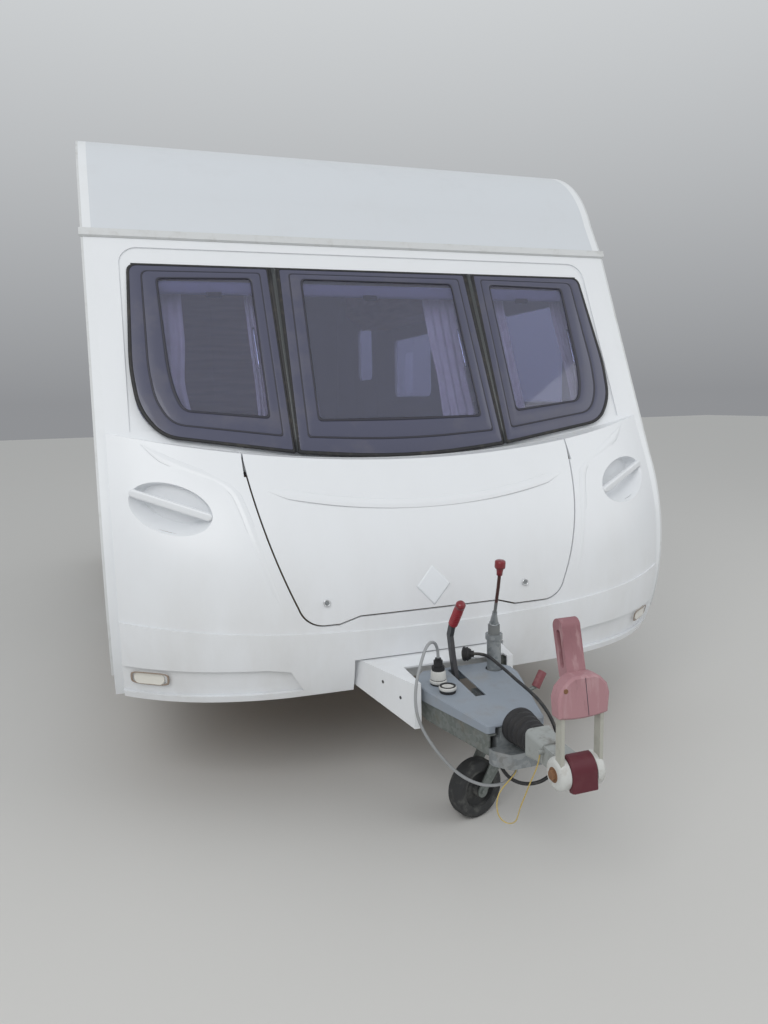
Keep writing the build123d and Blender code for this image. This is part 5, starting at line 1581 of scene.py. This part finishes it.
# Control points of the cables, by across, station and height
GREY_ROUTE = (
    (-0.112, -0.546, 0.59), (-0.112, -0.546, 0.5995), (-0.1142, -0.548, 0.618),
    (-0.1208, -0.554, 0.635), (-0.1305, -0.5628, 0.648), (-0.1427, -0.5738, 0.656),
    (-0.1564, -0.5862, 0.659), (-0.17, -0.5986, 0.656), (-0.1825, -0.61, 0.6475),
    (-0.1935, -0.62, 0.633), (-0.206, -0.631, 0.612), (-0.223, -0.645, 0.58), (-0.235, -0.657, 0.54),
    (-0.24, -0.666, 0.496), (-0.233, -0.671, 0.45), (-0.214, -0.676, 0.403), (-0.187, -0.681, 0.356),
    (-0.153, -0.686, 0.308), (-0.115, -0.692, 0.264), (-0.072, -0.7, 0.231), (-0.028, -0.714, 0.214),
    (0.012, -0.733, 0.218), (0.038, -0.751, 0.238), (0.054, -0.765, 0.268), (0.06, -0.77, 0.306),
    (0.061, -0.771, 0.35), (0.06, -0.77, 0.394))
BLACK_ROUTE = (
    (0.054, -0.4646, 0.5554), (0.0637, -0.4722, 0.5565), (0.0731, -0.4826, 0.5572),
    (0.0803, -0.4946, 0.5575), (0.0851, -0.5078, 0.557), (0.0882, -0.5275, 0.556),
    (0.09, -0.565, 0.552), (0.091, -0.61, 0.548), (0.091, -0.655, 0.544), (0.09, -0.7, 0.54),
    (0.091, -0.745, 0.536), (0.094, -0.79, 0.529), (0.099, -0.832, 0.516), (0.105, -0.868, 0.493),
    (0.11, -0.895, 0.462), (0.112, -0.912, 0.426), (0.11, -0.919, 0.388), (0.102, -0.918, 0.352),
    (0.085, -0.911, 0.322), (0.058, -0.902, 0.303), (0.024, -0.891, 0.297), (-0.01, -0.879, 0.305),
    (-0.036, -0.866, 0.326), (-0.05, -0.856, 0.357), (-0.055, -0.851, 0.393))
YELLOW_ROUTE = (
    (-0.041, -1.064, 0.482), (-0.042, -1.062, 0.464), (-0.047, -1.053, 0.43), (-0.055, -1.038, 0.39),
    (-0.061, -1.022, 0.345), (-0.066, -1.006, 0.306), (-0.07, -0.9995, 0.277), (-0.073, -0.996, 0.261),
    (-0.08, -0.9883, 0.25), (-0.09, -0.977, 0.246), (-0.1, -0.966, 0.25), (-0.107, -0.9576, 0.261),
    (-0.11, -0.954, 0.276), (-0.11, -0.95, 0.296), (-0.102, -0.945, 0.318), (-0.082, -0.937, 0.334),
    (-0.056, -0.926, 0.344), (-0.034, -0.914, 0.351), (-0.021, -0.904, 0.36),
    (-0.0175, -0.8995, 0.3713))


@dataclass
class Camera:
    """The photograph's viewpoint, solved from the caravan's front."""

    position: tuple[float, float, float] = (-1.0388, -2.7407 + FRONT_Y, 1.4332)
    yaw: float = 0.33044
    pitch: float = 0.15045
    roll: float = -0.022835
    focal_px: float = 763.0
    long_side_px: float = 1024.0

    def build(self) -> bpy.types.Object:
        """Place the camera.

        Returns:
            The camera, turned right by the yaw, down by the pitch and over by the roll.
        """
        cy, sy = math.cos(self.yaw), math.sin(self.yaw)
        cp, sp = math.cos(self.pitch), math.sin(self.pitch)
        forward = Vector((sy * cp, cy * cp, -sp))
        right = Vector((cy, -sy, 0))
        up = right.cross(forward)
        tilted_right = right * math.cos(self.roll) + up * math.sin(self.roll)
        tilted_up = up * math.cos(self.roll) - right * math.sin(self.roll)
        data = bpy.data.cameras.new("camera")
        data.sensor_width = 36
        data.sensor_fit = "AUTO"
        data.lens = self.focal_px / self.long_side_px * data.sensor_width
        camera = bpy.data.objects.new("camera", data)
        bpy.context.scene.collection.objects.link(camera)
        axes = Matrix((tilted_right, tilted_up, -forward)).transposed()
        camera.matrix_world = Matrix.Translation(Vector(self.position)) @ axes.to_4x4()
        bpy.context.scene.camera = camera
        return camera


@dataclass
class Studio:
    """Pale floor, open sky light and two soft lamps.

    The sky's colours go with the height of the direction, from level upwards.
    """

    floor: float = 60.0
    sky: float = 0.66
    sky_colors: tuple = ((0.0, (0.42, 0.43, 0.45)), (0.45, (0.95, 0.98, 1.0)))
    lamps: tuple = (("key", (-4.5, -8.0, 6.5), 5.0, 300), ("fill", (6.0, -5.0, 4.0), 5.0, 80))

    def build(self) -> None:
        """Make the floor, the lamps and the world."""
        half = self.floor / 2
        verts = np.array([(-half, -half, 0), (half, -half, 0), (half, half, 0), (-half, half, 0)], float)
        ground = mesh_object(verts, np.array([[0, 1, 2, 3]]), False)
        ground.name = "ground"
        dress(ground, Finish("pale_ground", (0.62, 0.61, 0.59), 0.9).material())
        world = bpy.data.worlds.new("sky")
        bpy.context.scene.world = world
        world.use_nodes = True
        graph = Graph(world.node_tree)
        split = graph.add("SeparateXYZ", {0: graph.add("TexCoord").outputs["Generated"]})
        ramp = graph.add("ValToRGB", {0: split.outputs["Z"]})
        light = graph.add("Background", {"Color": ramp.outputs[0], "Strength": self.sky})
        graph.add("OutputWorld", {0: light.outputs[0]})
        for stop, (height, color) in zip(ramp.color_ramp.elements, self.sky_colors):
            stop.position = height
            stop.color = (*color, 1)
        for lamp in self.lamps:
            self.lamp(*lamp)
        bpy.context.scene.view_settings.view_transform = "Standard"

    def lamp(self, name: str, position: tuple[float, float, float], size: float, power: float) -> None:
        """Add one soft square lamp that faces the caravan.

        Args:
            name: The lamp's name.
            position: Where it stands.
            size: Side of the square.
            power: Watts.
        """
        data = bpy.data.lights.new(name, "AREA")
        data.size = size
        data.energy = power
        lamp = bpy.data.objects.new(name, data)
        lamp.location = position
        lamp.rotation_mode = "QUATERNION"
        lamp.rotation_quaternion = (Vector((0, -1.0, 1.0)) - Vector(position)).to_track_quat("-Z", "Y")
        bpy.context.scene.collection.objects.link(lamp)


def main() -> None:
    """Build the caravan's looks in order."""
    Camera().build()
    palette = Palette()
    palette.build()
    dress_frame(palette)
    for cable in (Cable(palette, "plug_cable", "grey_cable", "grey_sheath", 0.010, 0.9298, GREY_ROUTE),
                  Cable(palette, "spare_cable", "black_cable", "black_sheath", 0.011, 0.8290, BLACK_ROUTE),
                  Cable(palette, "breakaway_cord", "breakaway_cable", "yellow_sheath", 0.0035, 0.4671,
                        YELLOW_ROUTE)):
        cable.build()
    for assembly in (FrontWindows, Curtains, Cushions, FrontTrim, WallSeals, RoadWheels, HitchFittings):
        assembly(palette).build()
    Studio().build()


if __name__ == "__main__":
    main()
